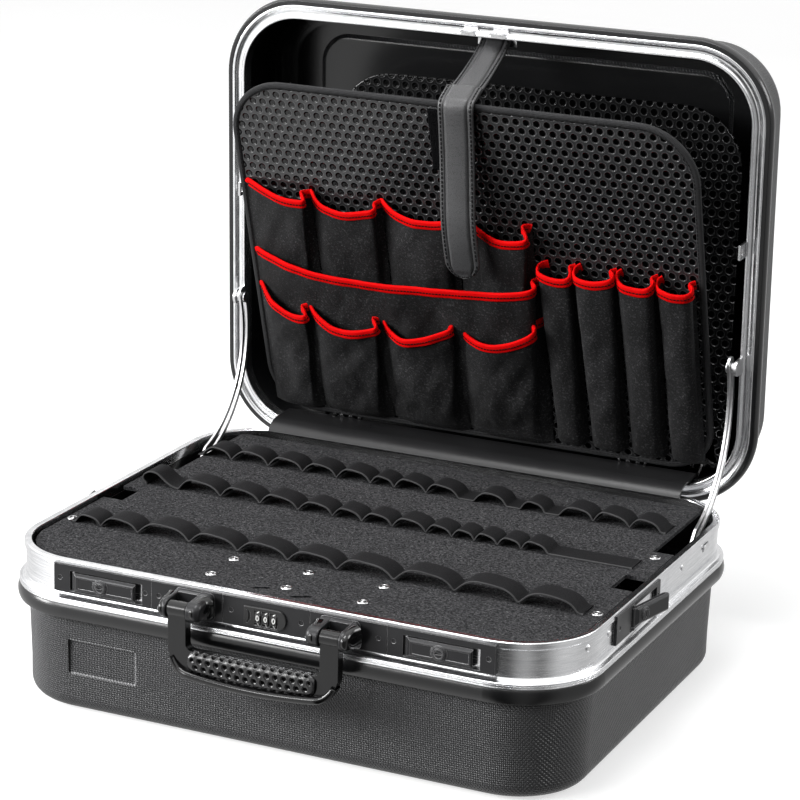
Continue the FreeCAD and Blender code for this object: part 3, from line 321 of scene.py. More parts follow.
def mat_satin(name, lo, hi):
    s = Sh(name, Metallic=0.4, IOR=1.5, Spec=0.3)
    n1 = s.noise(s.obj(), 60.0, 4.0)
    n2 = s.noise(s.scaled(s.obj(), (40.0, 40.0, 900.0)), 1.0, 3.0)
    e = s.edge(0.4 * MM, 3.0)
    base = s.mixc(n1, (lo, lo, lo), (hi, hi, hi))
    # painted highlight: the colour is lighter along the edges
    s.color(s.mixc(e, base, (0.4, 0.4, 0.41)))
    s.rough(s.span(n2, 0.3, 0.7, 0.30, 0.42))
    s.nrm(s.bump(n2, 0.02 * MM, 0.5, s.rounded(0.4 * MM)))
    return s.m


def mat_steel(name="steel", tone=0.62, rmin=0.16, rmax=0.34):
    s = Sh(name, Metallic=1.0)
    n1 = s.noise(s.scaled(s.obj(), (300.0, 90.0, 90.0)), 1.0, 4.0, 0.65)
    n2 = s.noise(s.obj(), 120.0, 5.0, 0.7)
    spots = s.span(s.noise(s.obj(), 700.0, 2.0), 0.64, 0.76, 0.0, 0.5, True)
    c = s.mixc(n1, (tone * 0.8, tone * 0.8, tone * 0.82), (tone * 1.12, tone * 1.12, tone * 1.12))
    s.color(s.mixc(spots, c, (tone * 0.5, tone * 0.5, tone * 0.5)))
    s.rough(s.span(n2, 0.3, 0.7, rmin, rmax))
    s.nrm(s.bump(n1, 0.01 * MM, 0.5, s.rounded(0.35 * MM)))
    return s.m


def mat_plastic(name="plastic_black", lo=0.003, hi=0.008, r0=0.12, r1=0.22, fine=0.015, spec=0.40):
    s = Sh(name, Metallic=0.0, IOR=1.52, Spec=spec)
    n1 = s.noise(s.obj(), 22.0, 3.0)
    n2 = s.noise(s.obj(), 1300.0, 2.0)
    e = s.edge(0.7 * MM, 2.0)
    c = s.mixc(n1, (lo, lo, lo * 1.05), (hi, hi, hi * 1.05))
    # painted highlight: the colour is lighter along the edges
    s.color(s.mixc(s.mt("MULTIPLY", e, 0.5), c, (0.05, 0.05, 0.052)))
    s.rough(s.span(s.mt("ADD", s.mt("MULTIPLY", n1, 0.6), s.mt("MULTIPLY", n2, 0.4)), 0.3, 0.7, r0, r1))
    s.nrm(s.bump(n2, fine * MM, 0.6, s.rounded(0.6 * MM)))
    return s.m


def hexdots(s, a, b, pitch):
    """distance from the nearest point of a staggered lattice of this pitch, in pitches"""
    py = pitch * math.sqrt(3.0)

    def lat(oa, ob):
        fa = s.mt("SUBTRACT", s.mt("FRACT", s.mt("ADD", s.mt("DIVIDE", a, pitch), oa)), 0.5)
        fb = s.mt("SUBTRACT", s.mt("FRACT", s.mt("ADD", s.mt("DIVIDE", b, py), ob)), 0.5)
        fb = s.mt("MULTIPLY", fb, math.sqrt(3.0))
        return s.mt("SQRT", s.mt("ADD", s.mt("MULTIPLY", fa, fa), s.mt("MULTIPLY", fb, fb)))
    return s.mt("MINIMUM", lat(50.0, 50.0), lat(50.5, 50.5))


def mat_grip():
    """black grip pad with staggered round dimples"""
    s = Sh("grip_black", Metallic=0.0, IOR=1.5)
    x, y, z = s.sep(s.obj())
    t = s.mt("ADD", s.mt("MULTIPLY", z, 0.8), s.mt("MULTIPLY", y, -0.6))
    d = hexdots(s, x, t, 5.2 * MM)
    pit = s.span(d, 0.20, 0.34, 0.0, 1.0, True)
    rim = s.mt("MULTIPLY", s.span(d, 0.30, 0.37, 0.0, 1.0, True), s.span(d, 0.37, 0.46, 1.0, 0.0, True))
    n = s.noise(s.obj(), 900.0, 2.0)
    # painted shade: the dimples are darker; painted highlight: a pale ring round each dimple
    c = s.mixc(pit, (0.002, 0.002, 0.002), (0.016, 0.016, 0.017))
    s.color(s.mixc(s.mt("MULTIPLY", rim, 0.7), c, (0.12, 0.12, 0.125)))
    s.rough(s.span(n, 0.3, 0.7, 0.26, 0.40))
    s.nrm(s.bump(pit, 1.3 * MM, 1.0, s.bump(n, 0.03 * MM, 0.5)))
    return s.m


def mat_dimpled(name="board_dimpled", k=1.0, spec=0.55):
    """grey sheet with staggered round dimples, in board coordinates"""
    s = Sh(name, Metallic=0.0, IOR=1.5, Spec=spec)
    x, y, z = s.sep(s.obj())
    wob = s.noise(s.obj(), 14.0, 2.0)
    xx = s.mt("ADD", x, s.mt("MULTIPLY", wob, 0.6 * MM))
    d = hexdots(s, xx, y, 8.8 * MM)
    pit = s.span(d, 0.20, 0.38, 0.0, 1.0, True)
    floor = s.span(d, 0.0, 0.14, 1.0, 0.0, True)
    rim = s.mt("MULTIPLY", s.span(d, 0.33, 0.38, 0.0, 1.0, True), s.span(d, 0.39, 0.44, 1.0, 0.0, True))
    n = s.noise(s.obj(), 700.0, 3.0, 0.6)
    # k scales the whole colour down; the darkened copy is painted shade
    c = s.mixc(n, (0.014 * k, 0.0143 * k, 0.0150 * k), (0.024 * k, 0.0243 * k, 0.0255 * k))
    # painted highlight: a pale ring round each dimple
    c = s.mixc(s.mt("MULTIPLY", rim, 0.5), c, (0.10 * k, 0.10 * k, 0.103 * k))
    # painted shade: the dimples are near-black
    s.color(s.mixc(pit, (0.0008, 0.0008, 0.0009), c))
    s.rough(s.span(n, 0.3, 0.7, 0.15, 0.26))
    lift = s.mt("MULTIPLY", s.span(s.mt("SUBTRACT", s.mt("SUBTRACT", y, 0.2), x), 0.02, 0.27, 0.0, 1.0, True), 0.75)
    s.put(s.b.inputs["Specular IOR Level"], s.mt("MULTIPLY", s.mt("MAXIMUM", s.span(d, 0.24, 0.36, 0.0, 1.0, True), lift), spec))
    h = s.mt("ADD", pit, s.mt("MULTIPLY", floor, 0.05))
    s.nrm(s.bump(h, 1.5 * MM, 1.0, s.bump(n, 0.02 * MM, 0.5)))
    return s.m


def mat_felt():
    s = Sh("felt", Metallic=0.0, Roughness=0.95, Spec=0.02)
    n1 = s.noise(s.obj(), 430.0, 4.0, 0.8)
    n2 = s.noise(s.obj(), 760.0, 4.0, 0.8)
    n3 = s.noise(s.obj(), 26.0, 3.0)
    f = s.voronoi(s.scaled(s.obj(), (1.0, 2.6, 1.0)), 520.0)
    mixed = s.mt("ADD", s.mt("MULTIPLY", n1, 0.6), s.mt("MULTIPLY", n2, 0.4))
    c = s.mixc(s.span(mixed, 0.40, 0.60), (0.005, 0.005, 0.0055), (0.068, 0.068, 0.071))
    fleck = s.span(n2, 0.57, 0.68, 0.0, 0.85, True)
    c = s.mixc(fleck, c, (0.24, 0.24, 0.245))
    s.color(s.mixc(s.span(n3, 0.35, 0.7, 0.0, 0.25), c, (0.020, 0.020, 0.021)))
    s.nrm(s.bump(s.mt("ADD", mixed, s.mt("MULTIPLY", f, 0.4)), 0.5 * MM, 0.8))
    return s.m


def mat_elastic():
    """woven elastic: fine ribs along the band, cross rows"""
    s = Sh("elastic", Metallic=0.0, Spec=0.06)
    u, v, _ = s.sep(s.uv())
    ribs = s.mt("SINE", s.mt("MULTIPLY", v, TAU / (1.15 * MM)))
    rows = s.mt("SINE", s.mt("MULTIPLY", u, TAU / (0.9 * MM)))
    w = s.mt("ADD", s.mt("MULTIPLY", ribs, 0.6), s.mt("MULTIPLY", s.mt("MULTIPLY", ribs, rows), 0.4))
    n1 = s.noise(s.obj(), 1200.0, 3.0)
    n2 = s.noise(s.obj(), 35.0, 3.0)
    c = s.mixc(s.span(w, -1.0, 1.0), (0.003, 0.003, 0.0033), (0.020, 0.020, 0.021))
    c = s.mixc(s.span(n1, 0.60, 0.75, 0.0, 0.5, True), c, (0.06, 0.06, 0.062))
    # painted highlight: the front edge of each band is painted paler
    _, yy, _ = s.sep(s.obj())
    edge = None
    for y0 in (-0.1035, 0.006, 0.095):
        e = s.span(s.mt("ABSOLUTE", s.mt("SUBTRACT", yy, y0)), 0.0009, 0.0016, 1.0, 0.0, True)
        edge = e if edge is None else s.mt("MAXIMUM", edge, e)
    c = s.mixc(s.mt("MULTIPLY", edge, 0.7), c, (0.085, 0.085, 0.087))
    s.color(s.mixc(s.span(n2, 0.4, 0.7, 0.0, 0.3), c, (0.014, 0.014, 0.015)))
    s.rough(s.span(n1, 0.3, 0.7, 0.60, 0.80))
    s.nrm(s.bump(s.mt("ADD", w, n1), 0.16 * MM, 0.7))
    return s.m


def mat_twill(name="pocket_twill", lo=0.004, hi=0.032, pitch=1.7):
    """black polyester twill, fine diagonal ribs"""
    s = Sh(name, Metallic=0.0, Spec=0.10)
    u, v, _ = s.sep(s.uv())
    k = TAU / (pitch * MM)
    wob = s.mt("MULTIPLY", s.noise(s.obj(), 90.0, 2.0), 0.5 * MM)
    d1 = s.mt("SINE", s.mt("MULTIPLY", s.mt("ADD", s.mt("ADD", u, s.mt("MULTIPLY", v, 1.35)), wob), k))
    d2 = s.mt("SINE", s.mt("MULTIPLY", s.mt("SUBTRACT", u, s.mt("MULTIPLY", v, 0.5)), k * 1.3))
    w = s.mt("ADD", s.mt("MULTIPLY", d1, 0.65), s.mt("MULTIPLY", d2, 0.35))
    n1 = s.noise(s.obj(), 560.0, 4.0, 0.85)
    n2 = s.noise(s.obj(), 24.0, 4.0)
    c = s.mixc(s.span(w, -0.9, 0.9), (lo, lo, lo * 1.06), (hi, hi, hi * 1.04))
    c = s.mixc(s.span(n1, 0.52, 0.68, 0.0, 0.8, True), c, (hi * 4.0, hi * 4.0, hi * 4.1))
    s.color(s.mixc(s.span(n2, 0.35, 0.62, 0.0, 0.45), c, (lo * 0.8, lo * 0.8, lo * 0.8)))
    s.rough(s.span(n1, 0.3, 0.7, 0.52, 0.74))
    s.nrm(s.bump(s.mt("ADD", w, n1), 0.20 * MM, 0.8))
    return s.m


def mat_trim():
    """red woven tape: ribs across it, a fold shine and slight soiling"""
    s = Sh("trim_red", Metallic=0.0, Spec=0.06)
    u, v, _ = s.sep(s.uv())
    ribs = s.mt("SINE", s.mt("MULTIPLY", u, TAU / (0.95 * MM)))
    rows = s.mt("SINE", s.mt("MULTIPLY", v, TAU / (0.8 * MM)))
    w = s.mt("ADD", s.mt("MULTIPLY", ribs, 0.7), s.mt("MULTIPLY", rows, 0.3))
    n1 = s.noise(s.obj(), 1100.0, 3.0)
    n2 = s.noise(s.obj(), 45.0, 3.0)
    c = s.mixc(s.span(w, -1.0, 1.0), (0.50, 0.0008, 0.0010), (0.90, 0.0016, 0.0022))
    c = s.mixc(s.span(n2, 0.35, 0.7, 0.0, 0.35), c, (0.72, 0.001, 0.0015))
    s.color(s.mixc(s.span(n1, 0.62, 0.76, 0.0, 0.3, True), c, (1.0, 0.02, 0.02)))
    s.rough(s.span(n1, 0.3, 0.7, 0.50, 0.70))
    s.nrm(s.bump(s.mt("ADD", w, n1), 0.14 * MM, 0.7))
    return s.m


def mat_leather(name="strap", lo=0.040, hi=0.066):
    s = Sh(name, Metallic=0.0, IOR=1.5, Spec=0.5)
    v1 = s.voronoi(s.obj(), 950.0, "DISTANCE_TO_EDGE")
    n1 = s.noise(s.obj(), 40.0, 4.0)
    n2 = s.noise(s.obj(), 1400.0, 3.0)
    grain = s.span(v1, 0.0, 0.16, 0.0, 1.0, True)
    c = s.mixc(n1, (lo, lo, lo * 1.05), (hi, hi, hi * 1.05))
    s.color(s.mixc(grain, (lo * 0.4, lo * 0.4, lo * 0.4), c))
    s.rough(s.span(s.mt("ADD", s.mt("MULTIPLY", n2, 0.5), s.mt("MULTIPLY", n1, 0.5)), 0.3, 0.7, 0.28, 0.42))
    s.nrm(s.bump(s.mt("ADD", grain, s.mt("MULTIPLY", n2, 0.3)), 0.10 * MM, 0.7))
    return s.m


def mat_fuzz():
    s = Sh("velcro", Metallic=0.0, Roughness=1.0, Spec=0.0)
    n1 = s.noise(s.obj(), 1300.0, 4.0, 0.8)
    n2 = s.voronoi(s.obj(), 900.0)
    c = s.mixc(s.span(n1, 0.35, 0.65), (0.0015, 0.0015, 0.0017), (0.013, 0.013, 0.014))
    s.color(c)
    s.nrm(s.bump(s.mt("ADD", n1, n2), 0.9 * MM, 1.0))
    return s.m


def mat_binding():
    """ribbed tape round the boards"""
    s = Sh("binding", Metallic=0.0, IOR=1.5, Spec=0.18)
    u, v, _ = s.sep(s.uv())
    a = s.mt("SINE", s.mt("MULTIPLY", s.mt("ADD", u, v), TAU / (2.1 * MM)))
    b = s.mt("SINE", s.mt("MULTIPLY", s.mt("SUBTRACT", u, v), TAU / (2.1 * MM)))
    w = s.mt("MULTIPLY", a, b)
    n1 = s.noise(s.obj(), 1200.0, 3.0)
    n2 = s.noise(s.obj(), 60.0, 3.0)
    c = s.mixc(s.span(w, -0.8, 0.8), (0.005, 0.005, 0.0055), (0.034, 0.034, 0.036))
    s.color(s.mixc(s.span(n2, 0.4, 0.7, 0.0, 0.3), c, (0.016, 0.016, 0.017)))
    s.rough(s.span(n1, 0.3, 0.7, 0.45, 0.62))
    s.nrm(s.bump(s.mt("ADD", w, s.mt("MULTIPLY", n1, 0.6)), 0.30 * MM, 0.8))
    return s.m


def mat_thread(name, lo, hi):
    s = Sh(name, Metallic=0.0, Roughness=0.7, Spec=0.1)
    n = s.noise(s.obj(), 2500.0, 3.0)
    s.color(s.mixc(n, lo, hi))
    s.nrm(s.bump(n, 0.08 * MM, 0.6))
    return s.m


def mat_number():
    s = Sh("number_white", Metallic=0.0)
    n = s.noise(s.obj(), 2200.0, 3.0)
    s.color(s.mixc(n, (0.74, 0.74, 0.72), (0.90, 0.90, 0.88)))
    s.rough(s.span(n, 0.3, 0.7, 0.45, 0.6))
    s.nrm(s.bump(n, 0.02 * MM, 0.5))
    return s.m


M = {
    "shell_base": mat_shell("shell_black", (0.0, 0.0, 0.085)),
    "shell_lid": mat_shell("shell_black_lid", (0.0, 0.222, 0.306)),
    "band_base": mat_band("band_metal", 2, 0.88),
    "band_lid": mat_band("band_metal_lid", 1, 0.86),
    "lock_black": mat_lock(),
    "steel": mat_steel(),
    "steel_bright": mat_steel("steel_bright", 0.78, 0.12, 0.24),
    "plastic_black": mat_plastic(),
    "cover": mat_plastic("cover_satin", 0.010, 0.018, 0.26, 0.36, spec=0.36),
    "grip": mat_grip(),
    "grip_skin": mat_plastic("grip_skin", 0.006, 0.012, 0.17, 0.26, 0.02, 0.55),
    "gloss": mat_plastic("gloss_black", 0.002, 0.004, 0.09, 0.15, 0.008, 0.42),
    # near-black copy of the grip plastic for the dimple floors: painted shade
    "pit": mat_plastic("grip_pits", 0.001, 0.002, 0.5, 0.7, 0.02, 0.03),
    # the rear board's copy is darker and less glossy: painted shade behind the pocket board
    "dimpled": mat_dimpled(), "dimpled_rear": mat_dimpled("board_dimpled_rear", 0.35, 0.4),
    "felt": mat_felt(),
    "elastic": mat_elastic(),
    "twill": mat_twill(),
    "trim": mat_trim(),
    "strap": mat_leather(),
    "fuzz": mat_fuzz(),
    "binding": mat_binding(),
    "thread_dark": mat_thread("thread_dark", (0.010, 0.0005, 0.0006), (0.035, 0.001, 0.0012)),
    "thread_grey": mat_thread("thread_grey", (0.003, 0.003, 0.0032), (0.016, 0.016, 0.0165)),
    "bezel": mat_satin("bezel_satin", 0.030, 0.044),
    "rivet": mat_steel("rivet_steel", 0.50, 0.22, 0.40),
    "number": mat_number(),
    "stay": mat_steel("stay_steel", 0.66, 0.26, 0.40),
}

BY_NODE = {
    "base_shell": "shell_base", "lid_shell": "shell_lid", "base_frame": "band_base", "lid_frame": "band_lid",
    "hinge_cover": "cover", "handle_grip": "grip", "combo_bezel": "bezel", "board_rivets": "steel_bright", "band_screws": "steel_bright",
    "stay_left": "stay", "stay_right": "stay", "board_pivots": "plastic_black", "stay_studs": "stay", "stay_pins_lid": "stay",
}
BY_SLOT = {"shell_black": "shell_base", "band_metal": "band_base", "lock_black": "lock_black", "steel": "steel",
           "plastic_black": "plastic_black", "felt": "felt", "board_cover": "dimpled", "elastic": "elastic",
           "pocket_twill": "twill", "trim_red": "trim", "strap": "strap"}


def dress_cad():
    for name, ob in NODES.items():
        slots = [m.name.split(".")[0] for m in ob.data.materials if m]
        key = BY_NODE.get(name)
        if key is None:
            key = next((BY_SLOT[k] for k in BY_SLOT if any(k in t for t in slots)), None)
        if key is None:
            key = "plastic_black"
        for i in range(len(ob.material_slots)):
            ob.material_slots[i].link = "OBJECT"
            ob.material_slots[i].material = M[key]


dress_cad()


# ------------------------------------------------------------------ mesh helpers
def make(name, V, F, UV=None, mats=(), matrix=None, smooth=True, midx=None):
    me = bpy.data.meshes.new(name)
    me.from_pydata([tuple(map(float, p)) for p in V], [], [tuple(f) for f in F])
    if UV is not None:
        lay = me.uv_layers.new(name="UVMap")
        idx = np.empty(len(me.loops), int)
        me.loops.foreach_get("vertex_index", idx)
        lay.data.foreach_set("uv", np.asarray(UV, float)[idx].ravel())
    for m in mats:
        me.materials.append(M[m])
    if midx is not None:
        me.polygons.foreach_set("material_index", midx)
    me.polygons.foreach_set("use_smooth", [smooth] * len(me.polygons))
    me.validate()
    me.update()
    ob = bpy.data.objects.new(name, me)
    COL.objects.link(ob)
    if matrix is not None:
        ob.matrix_world = matrix
    return ob


def fix_normals(ob):
    import bmesh
    bm = bmesh.new()
    bm.from_mesh(ob.data)
    bmesh.ops.recalc_face_normals(bm, faces=bm.faces)
    bm.to_mesh(ob.data)
    bm.free()
    ob.data.update()


class Bag:
    """collects pieces of mesh into one object"""

    def __init__(self):
        self.V, self.F, self.UV, self.mi = [], [], [], []

    def add(self, V, F, UV=None, mi=0):
        o = len(self.V)
        self.V.extend(map(tuple, V))
        self.UV.extend(map(tuple, UV) if UV is not None else [(0.0, 0.0)] * len(V))
        self.F.extend(tuple(i + o for i in f) for f in F)
        self.mi.extend([mi] * len(F))

    def make(self, name, mats, matrix=None, smooth=True):
        return make(name, self.V, self.F, self.UV, mats, matrix, smooth, self.mi)


def grid_faces(n, m, close_n=False, close_m=False):
    F = []
    for i in range(n if close_n else n - 1):
        for j in range(m if close_m else m - 1):
            a, b = i * m + j, i * m + (j + 1) % m
            c, d = ((i + 1) % n) * m + (j + 1) % m, ((i + 1) % n) * m + j
            F.append((a, b, c, d))
    return F


def catmull(pts, n, closed=False):
    """smooth curve through the points, n samples evenly spaced along it"""
    P = np.asarray(pts, float)
    if closed:
        Q = np.vstack([P[-1], P, P[0], P[1]])
    else:
        Q = np.vstack([2 * P[0] - P[1], P, 2 * P[-1] - P[-2]])
    out = []
    for i in range(1, len(Q) - 2):
        for t in np.linspace(0, 1, 24, endpoint=False):
            a, b, c, d = Q[i - 1], Q[i], Q[i + 1], Q[i + 2]
            out.append(0.5 * ((2 * b) + (-a + c) * t + (2 * a - 5 * b + 4 * c - d) * t * t + (-a + 3 * b - 3 * c + d) * t ** 3))
    if not closed:
        out.append(Q[-2])
    O = np.array(out)
    if closed:
        O = np.vstack([O, O[0]])
    L = np.r_[0, np.cumsum(np.linalg.norm(np.diff(O, axis=0), axis=1))]
    q = np.linspace(0, L[-1], n + 1 if closed else n)
    R = np.stack([np.interp(q, L, O[:, k]) for k in range(O.shape[1])], 1)
    return R[:-1] if closed else R


def sweep(path, side, up, sec, closed=False, caps=True):
    """section (a along side, b along up) carried along the path; returns V, F, UV"""
    P = np.asarray(path, float)
    S = np.asarray(side, float)
    U = np.asarray(up, float)
    sec = np.asarray(sec, float)
    if sec.ndim == 2:
        sec = np.repeat(sec[None], len(P), 0)
    n, m = sec.shape[:2]
    V = P[:, None, :] + S[:, None, :] * sec[:, :, 0:1] + U[:, None, :] * sec[:, :, 1:2]
    lu = np.r_[0, np.cumsum(np.linalg.norm(np.diff(P, axis=0), axis=1))]
    sm = sec.mean(0)
    lv = np.r_[0, np.cumsum(np.linalg.norm(np.diff(sm, axis=0), axis=1))]
    UV = np.stack(np.meshgrid(lu, lv, indexing="ij"), 2).reshape(-1, 2)
    F = grid_faces(n, m, closed, True)
    if caps and not closed:
        F.append(tuple(range(m)))
        F.append(tuple((n - 1) * m + i for i in reversed(range(m))))
    return V.reshape(-1, 3), F, UV


def round_sec(w, h, r, k=4, crown=0.0):
    """rounded rectangle section, w across (a), h up (b), centred; crown lifts the top's middle"""
    out = []
    r = min(r, w / 2 - 1e-6, h / 2 - 1e-6)
    for cx, cy, a0 in ((w / 2 - r, h / 2 - r, 0), (-w / 2 + r, h / 2 - r, 90), (-w / 2 + r, -h / 2 + r, 180), (w / 2 - r, -h / 2 + r, 270)):
        for i in range(k + 1):
            a = math.radians(a0 + 90 * i / k)
            x, y = cx + r * math.cos(a), cy + r * math.sin(a)
            if a0 < 180 and crown:
                y += crown * (1 - (2 * x / w) ** 2)
            out.append((x, y))
        if a0 == 0 and crown:
            for q in (0.5, 0.0, -0.5):
                x = q * (w - 2 * r)
                out.append((x, h / 2 + crown * (1 - (2 * x / w) ** 2)))
    return out


def noise3(p, scale, seed=0.0):
    return noise.noise(Vector((p[0] * scale + seed, p[1] * scale + seed * 1.7, p[2] * scale - seed)))


def tangents(P, closed=False):
    P = np.asarray(P, float)
    if closed:
        T = np.roll(P, -1, 0) - np.roll(P, 1, 0)
    else:
        T = np.gradient(P, axis=0)
    return T / np.maximum(np.linalg.norm(T, axis=1, keepdims=True), 1e-12)


# board coordinates: u across, v up the board, w out of its front
SB, CB = 0.29571, 0.95528
BOARD = Matrix(((1, 0, 0, 0), (0, -SB, -CB, 0.2142), (0, CB, -SB, 0.13675), (0, 0, 0, 1)))
BACK = Matrix(((1, 0, 0, 0), (0, 0, -1, 0.224), (0, 1, 0, 0.138), (0, 0, 0, 1)))
TOP = 120.5


# ------------------------------------------------------------------ elastic loops
ARCH = [(0.0, 0.0), (0.05, 0.26), (0.14, 0.66), (0.26, 0.97), (0.40, 1.04), (0.60, 0.95), (0.78, 0.78), (0.90, 0.48), (0.965, 0.16), (1.0, 0.0)]
ROUND = [(0.10, 0.0), (-0.03, 0.30), (-0.02, 0.74), (0.14, 1.06), (0.34, 1.02), (0.52, 0.66), (0.70, 0.28), (0.86, 0.07), (1.0, 0.0)]


def arch_path(x0, x1, h, z, lean, n=21, form=ARCH):
    """one loop from valley to valley: quick rise, sloping top, steep end"""
    k = [(x0 + (x1 - x0) * (t + lean * math.sin(math.pi * t)), z + h * q) for t, q in form]
    return [tuple(q) for q in catmull([(a, b) for a, b in k], n)]


def loops(name, arches, flats, y0, y1, node):
    """arches (x0, x1, h), flats (x0, x1)"""
    bag = Bag()
    parts = [("a", *a) for a in arches] + [("f", a, b, 0.0) for a, b in flats]
    parts.sort(key=lambda q: q[1])
    z = TOP + 0.75
    runs, cur, last = [], [], None
    for kind, a, b, h in parts:
        if last is not None and a - last > 3.0:
            runs.append(cur)
            cur = []
        if kind == "a":
            first = node == "loops_middle" and a < -210
            cur += arch_path(a, b, h, z, 0.0 if first else rnd.uniform(-0.05, 0.05), form=ROUND if first else ARCH)
        else:
            cur += [(a + (b - a) * t, z) for t in np.linspace(0, 1, 9)]
        last = b
    runs.append(cur)
    W = y1 - y0
    for run in runs:
        run = [run[0]] + [q for p, q in zip(run, run[1:]) if abs(q[0] - p[0]) + abs(q[1] - p[1]) > 0.05]
        P = np.array([(x, 0.0, zz) for x, zz in run])
        # tails at both ends, folded flat on the board
        P = np.vstack([[P[0] + (-4.0, 0, 0)], P, [P[-1] + (4.0, 0, 0)]]) if len(run) > 5 else P
        P = np.array(P)
        T = tangents(P)
        up = np.stack([-T[:, 2], np.zeros(len(T)), T[:, 0]], 1)
        m = 13
        secs = []
        for i, p in enumerate(P):
            hh = max(p[2] - z, 0.0)
            sec = []
            flare = 0.5 * min(hh / 8.0, 1.0)
            base = round_sec(W, 1.25, 0.55, 3)
            for (a, b) in base:
                q = a / (W / 2)
                lift = flare * (q * q) * 0.9 + 0.35 * noise3((p[0] * 0.001, a * 0.001, 0), 90.0, y0) * min(hh / 5.0, 1.0)
                sec.append((a, b + lift))
            secs.append(sec)
        side = np.tile((0.0, 1.0, 0.0), (len(P), 1))
        P[:, 1] = (y0 + y1) / 2
        # the band's front edge wanders a little
        P[:, 1] += [0.5 * noise3((p[0] * 0.001, 0, 0), 22.0, y0 + 3) for p in P]
        V, F, UV = sweep(P * MM, side, up, np.array(secs) * MM)
        bag.add(V, F, UV, 0)
    # stitches across every valley
    ends = sorted({round(a[0], 2) for a in arches} | {round(a[1], 2) for a in arches})
    for x in ends:
        for k in range(5):
            y = y0 + 2.5 + k * (W - 5) / 4 + rnd.uniform(-0.3, 0.3)
            for dx in (-0.55, 0.55):
                P = np.array([(x + dx, y - 1.3, z + 0.75), (x + dx, y, z + 1.0), (x + dx, y + 1.3, z + 0.75)])
                T = tangents(P)
                V, F, UV = sweep(P * MM, np.tile((1.0, 0, 0), (3, 1)), np.tile((0, 0, 1.0), (3, 1)),
                                 np.array(round_sec(0.55, 0.4, 0.2, 2)) * MM)
                bag.add(V, F, UV, 1)
    ob = bag.make(name, ("elastic", "thread_grey"))
    sub = ob.modifiers.new("s", "SUBSURF")
    sub.levels = sub.render_levels = 1
    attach(ob, "tool_tray")
    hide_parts(node)
    return ob


def build_loops():
    row3 = [-213.6, -190.9, -158.0, -112.7, -70.3, -27.6, 14.0, 61.1, 110.4, 161.7, 208.7]
    row2 = [-213.6, -182.4, -143.9, -108.0, -74.1, -43.3, -17.6, 8.5, 37.7, 59.7, 78.8, 98.2, 118.3, 140.4]
    row1 = [(-209.0, -181.5), (-181.5, -147.0), (-147.0, -114.9), (-114.9, -83.7), (-83.7, -52.5), (-52.5, -31.2),
            (-31.2, -2.7), (-2.7, 26.3), (39.4, 68.2), (80.4, 101.5), (113.4, 142.9), (142.9, 173.8), (173.8, 199.9)]
    def high(a, b):
        return 3.2 + 0.125 * (b - a)
    loops("elastic_front", [(a, b, high(a, b)) for a, b in zip(row3, row3[1:])], [], -103.5, -81.5, "loops_front")
    loops("elastic_middle", [(a, b, 9.6 if a < -210 else high(a, b) + 0.5) for a, b in zip(row2, row2[1:])],
          [(142.2, 205.0)], 6.0, 28.0, "loops_middle")
    loops("elastic_back", [(a, b, high(a, b) + 0.8) for a, b in row1],
          [(27.9, 37.8), (69.8, 78.8), (103.1, 111.8)], 95.0, 117.0, "loops_back")


build_loops()


# ------------------------------------------------------------------ boards
def rounded_outline(x0, x1, y0, y1, rt, rb, k=14):
    pts = []
    for cx, cy, r, a0 in ((x1 - rt, y1 - rt, rt, 0), (x0 + rt, y1 - rt, rt, 90), (x0 + rb, y0 + rb, rb, 180), (x1 - rb, y0 + rb, rb, 270)):
        for i in range(k + 1):
            a = math.radians(a0 + 90 * i / k)
            pts.append((cx + r * math.cos(a), cy + r * math.sin(a)))
    return pts


def resample_closed(pts, step):
    P = np.array(pts + [pts[0]], float)
    L = np.r_[0, np.cumsum(np.linalg.norm(np.diff(P, axis=0), axis=1))]
    n = max(8, int(L[-1] / step))
    q = np.linspace(0, L[-1], n, endpoint=False)
    return np.stack([np.interp(q, L, P[:, k]) for k in range(2)], 1)


def plate_piece(name, out, z0, z1, matrix, mat, node, body, round_r=0.8, barrels=()):
    """flat sheet with a softly rounded edge: rings from the outline inwards on both faces"""
    O = resample_closed(out, 6.0)
    n = len(O)
    T = tangents(np.c_[O, np.zeros(n)], True)[:, :2]
    N = np.stack([T[:, 1], -T[:, 0]], 1)
    if ((O + N - O.mean(0)) ** 2).sum() < ((O - O.mean(0)) ** 2).sum():
        N = -N
    rings = []
    for inset, z in ((26.0, z1), (3.0, z1), (round_r, z1), (round_r * 0.3, z1 - round_r * 0.3), (0.0, z1 - round_r), (0.0, z0 + round_r),
                     (round_r * 0.3, z0 + round_r * 0.3), (round_r, z0), (3.0, z0), (26.0, z0)):
        rings.append(np.c_[O - N * inset, np.full(n, z)])
    V = np.vstack(rings) * MM
    F = grid_faces(len(rings), n, False, True)
    F.append(tuple(reversed(range(n))))
    F.append(tuple((len(rings) - 1) * n + i for i in range(n)))
    # bored barrels along the lower edge
    for xa, xb, v, w, ra, rb in barrels:
        ring = []
        for x, r in ((xa + 0.3, ra), (xb - 0.3, ra), (xb, ra - 0.3), (xb, rb), (xa, rb), (xa, ra - 0.3)):
            ring.append([(x * MM, (v + r * math.cos(q)) * MM, (w + r * math.sin(q)) * MM) for q in np.linspace(0, TAU, 28, endpoint=False)])
        base = len(V)
        V = np.vstack([V] + [np.array(r) for r in ring])
        F += [tuple(base + i for i in f) for f in grid_faces(6, 28, True, True)]
    ob = make(name, V, F, V[:, :2], (mat,), matrix)
    fix_normals(ob)
    for p in ob.data.polygons:
        p.use_smooth = abs(p.normal.z) < 0.98 and abs(p.normal.x) < 0.95
    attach(ob, body)
    if node:
        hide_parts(node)
    return ob


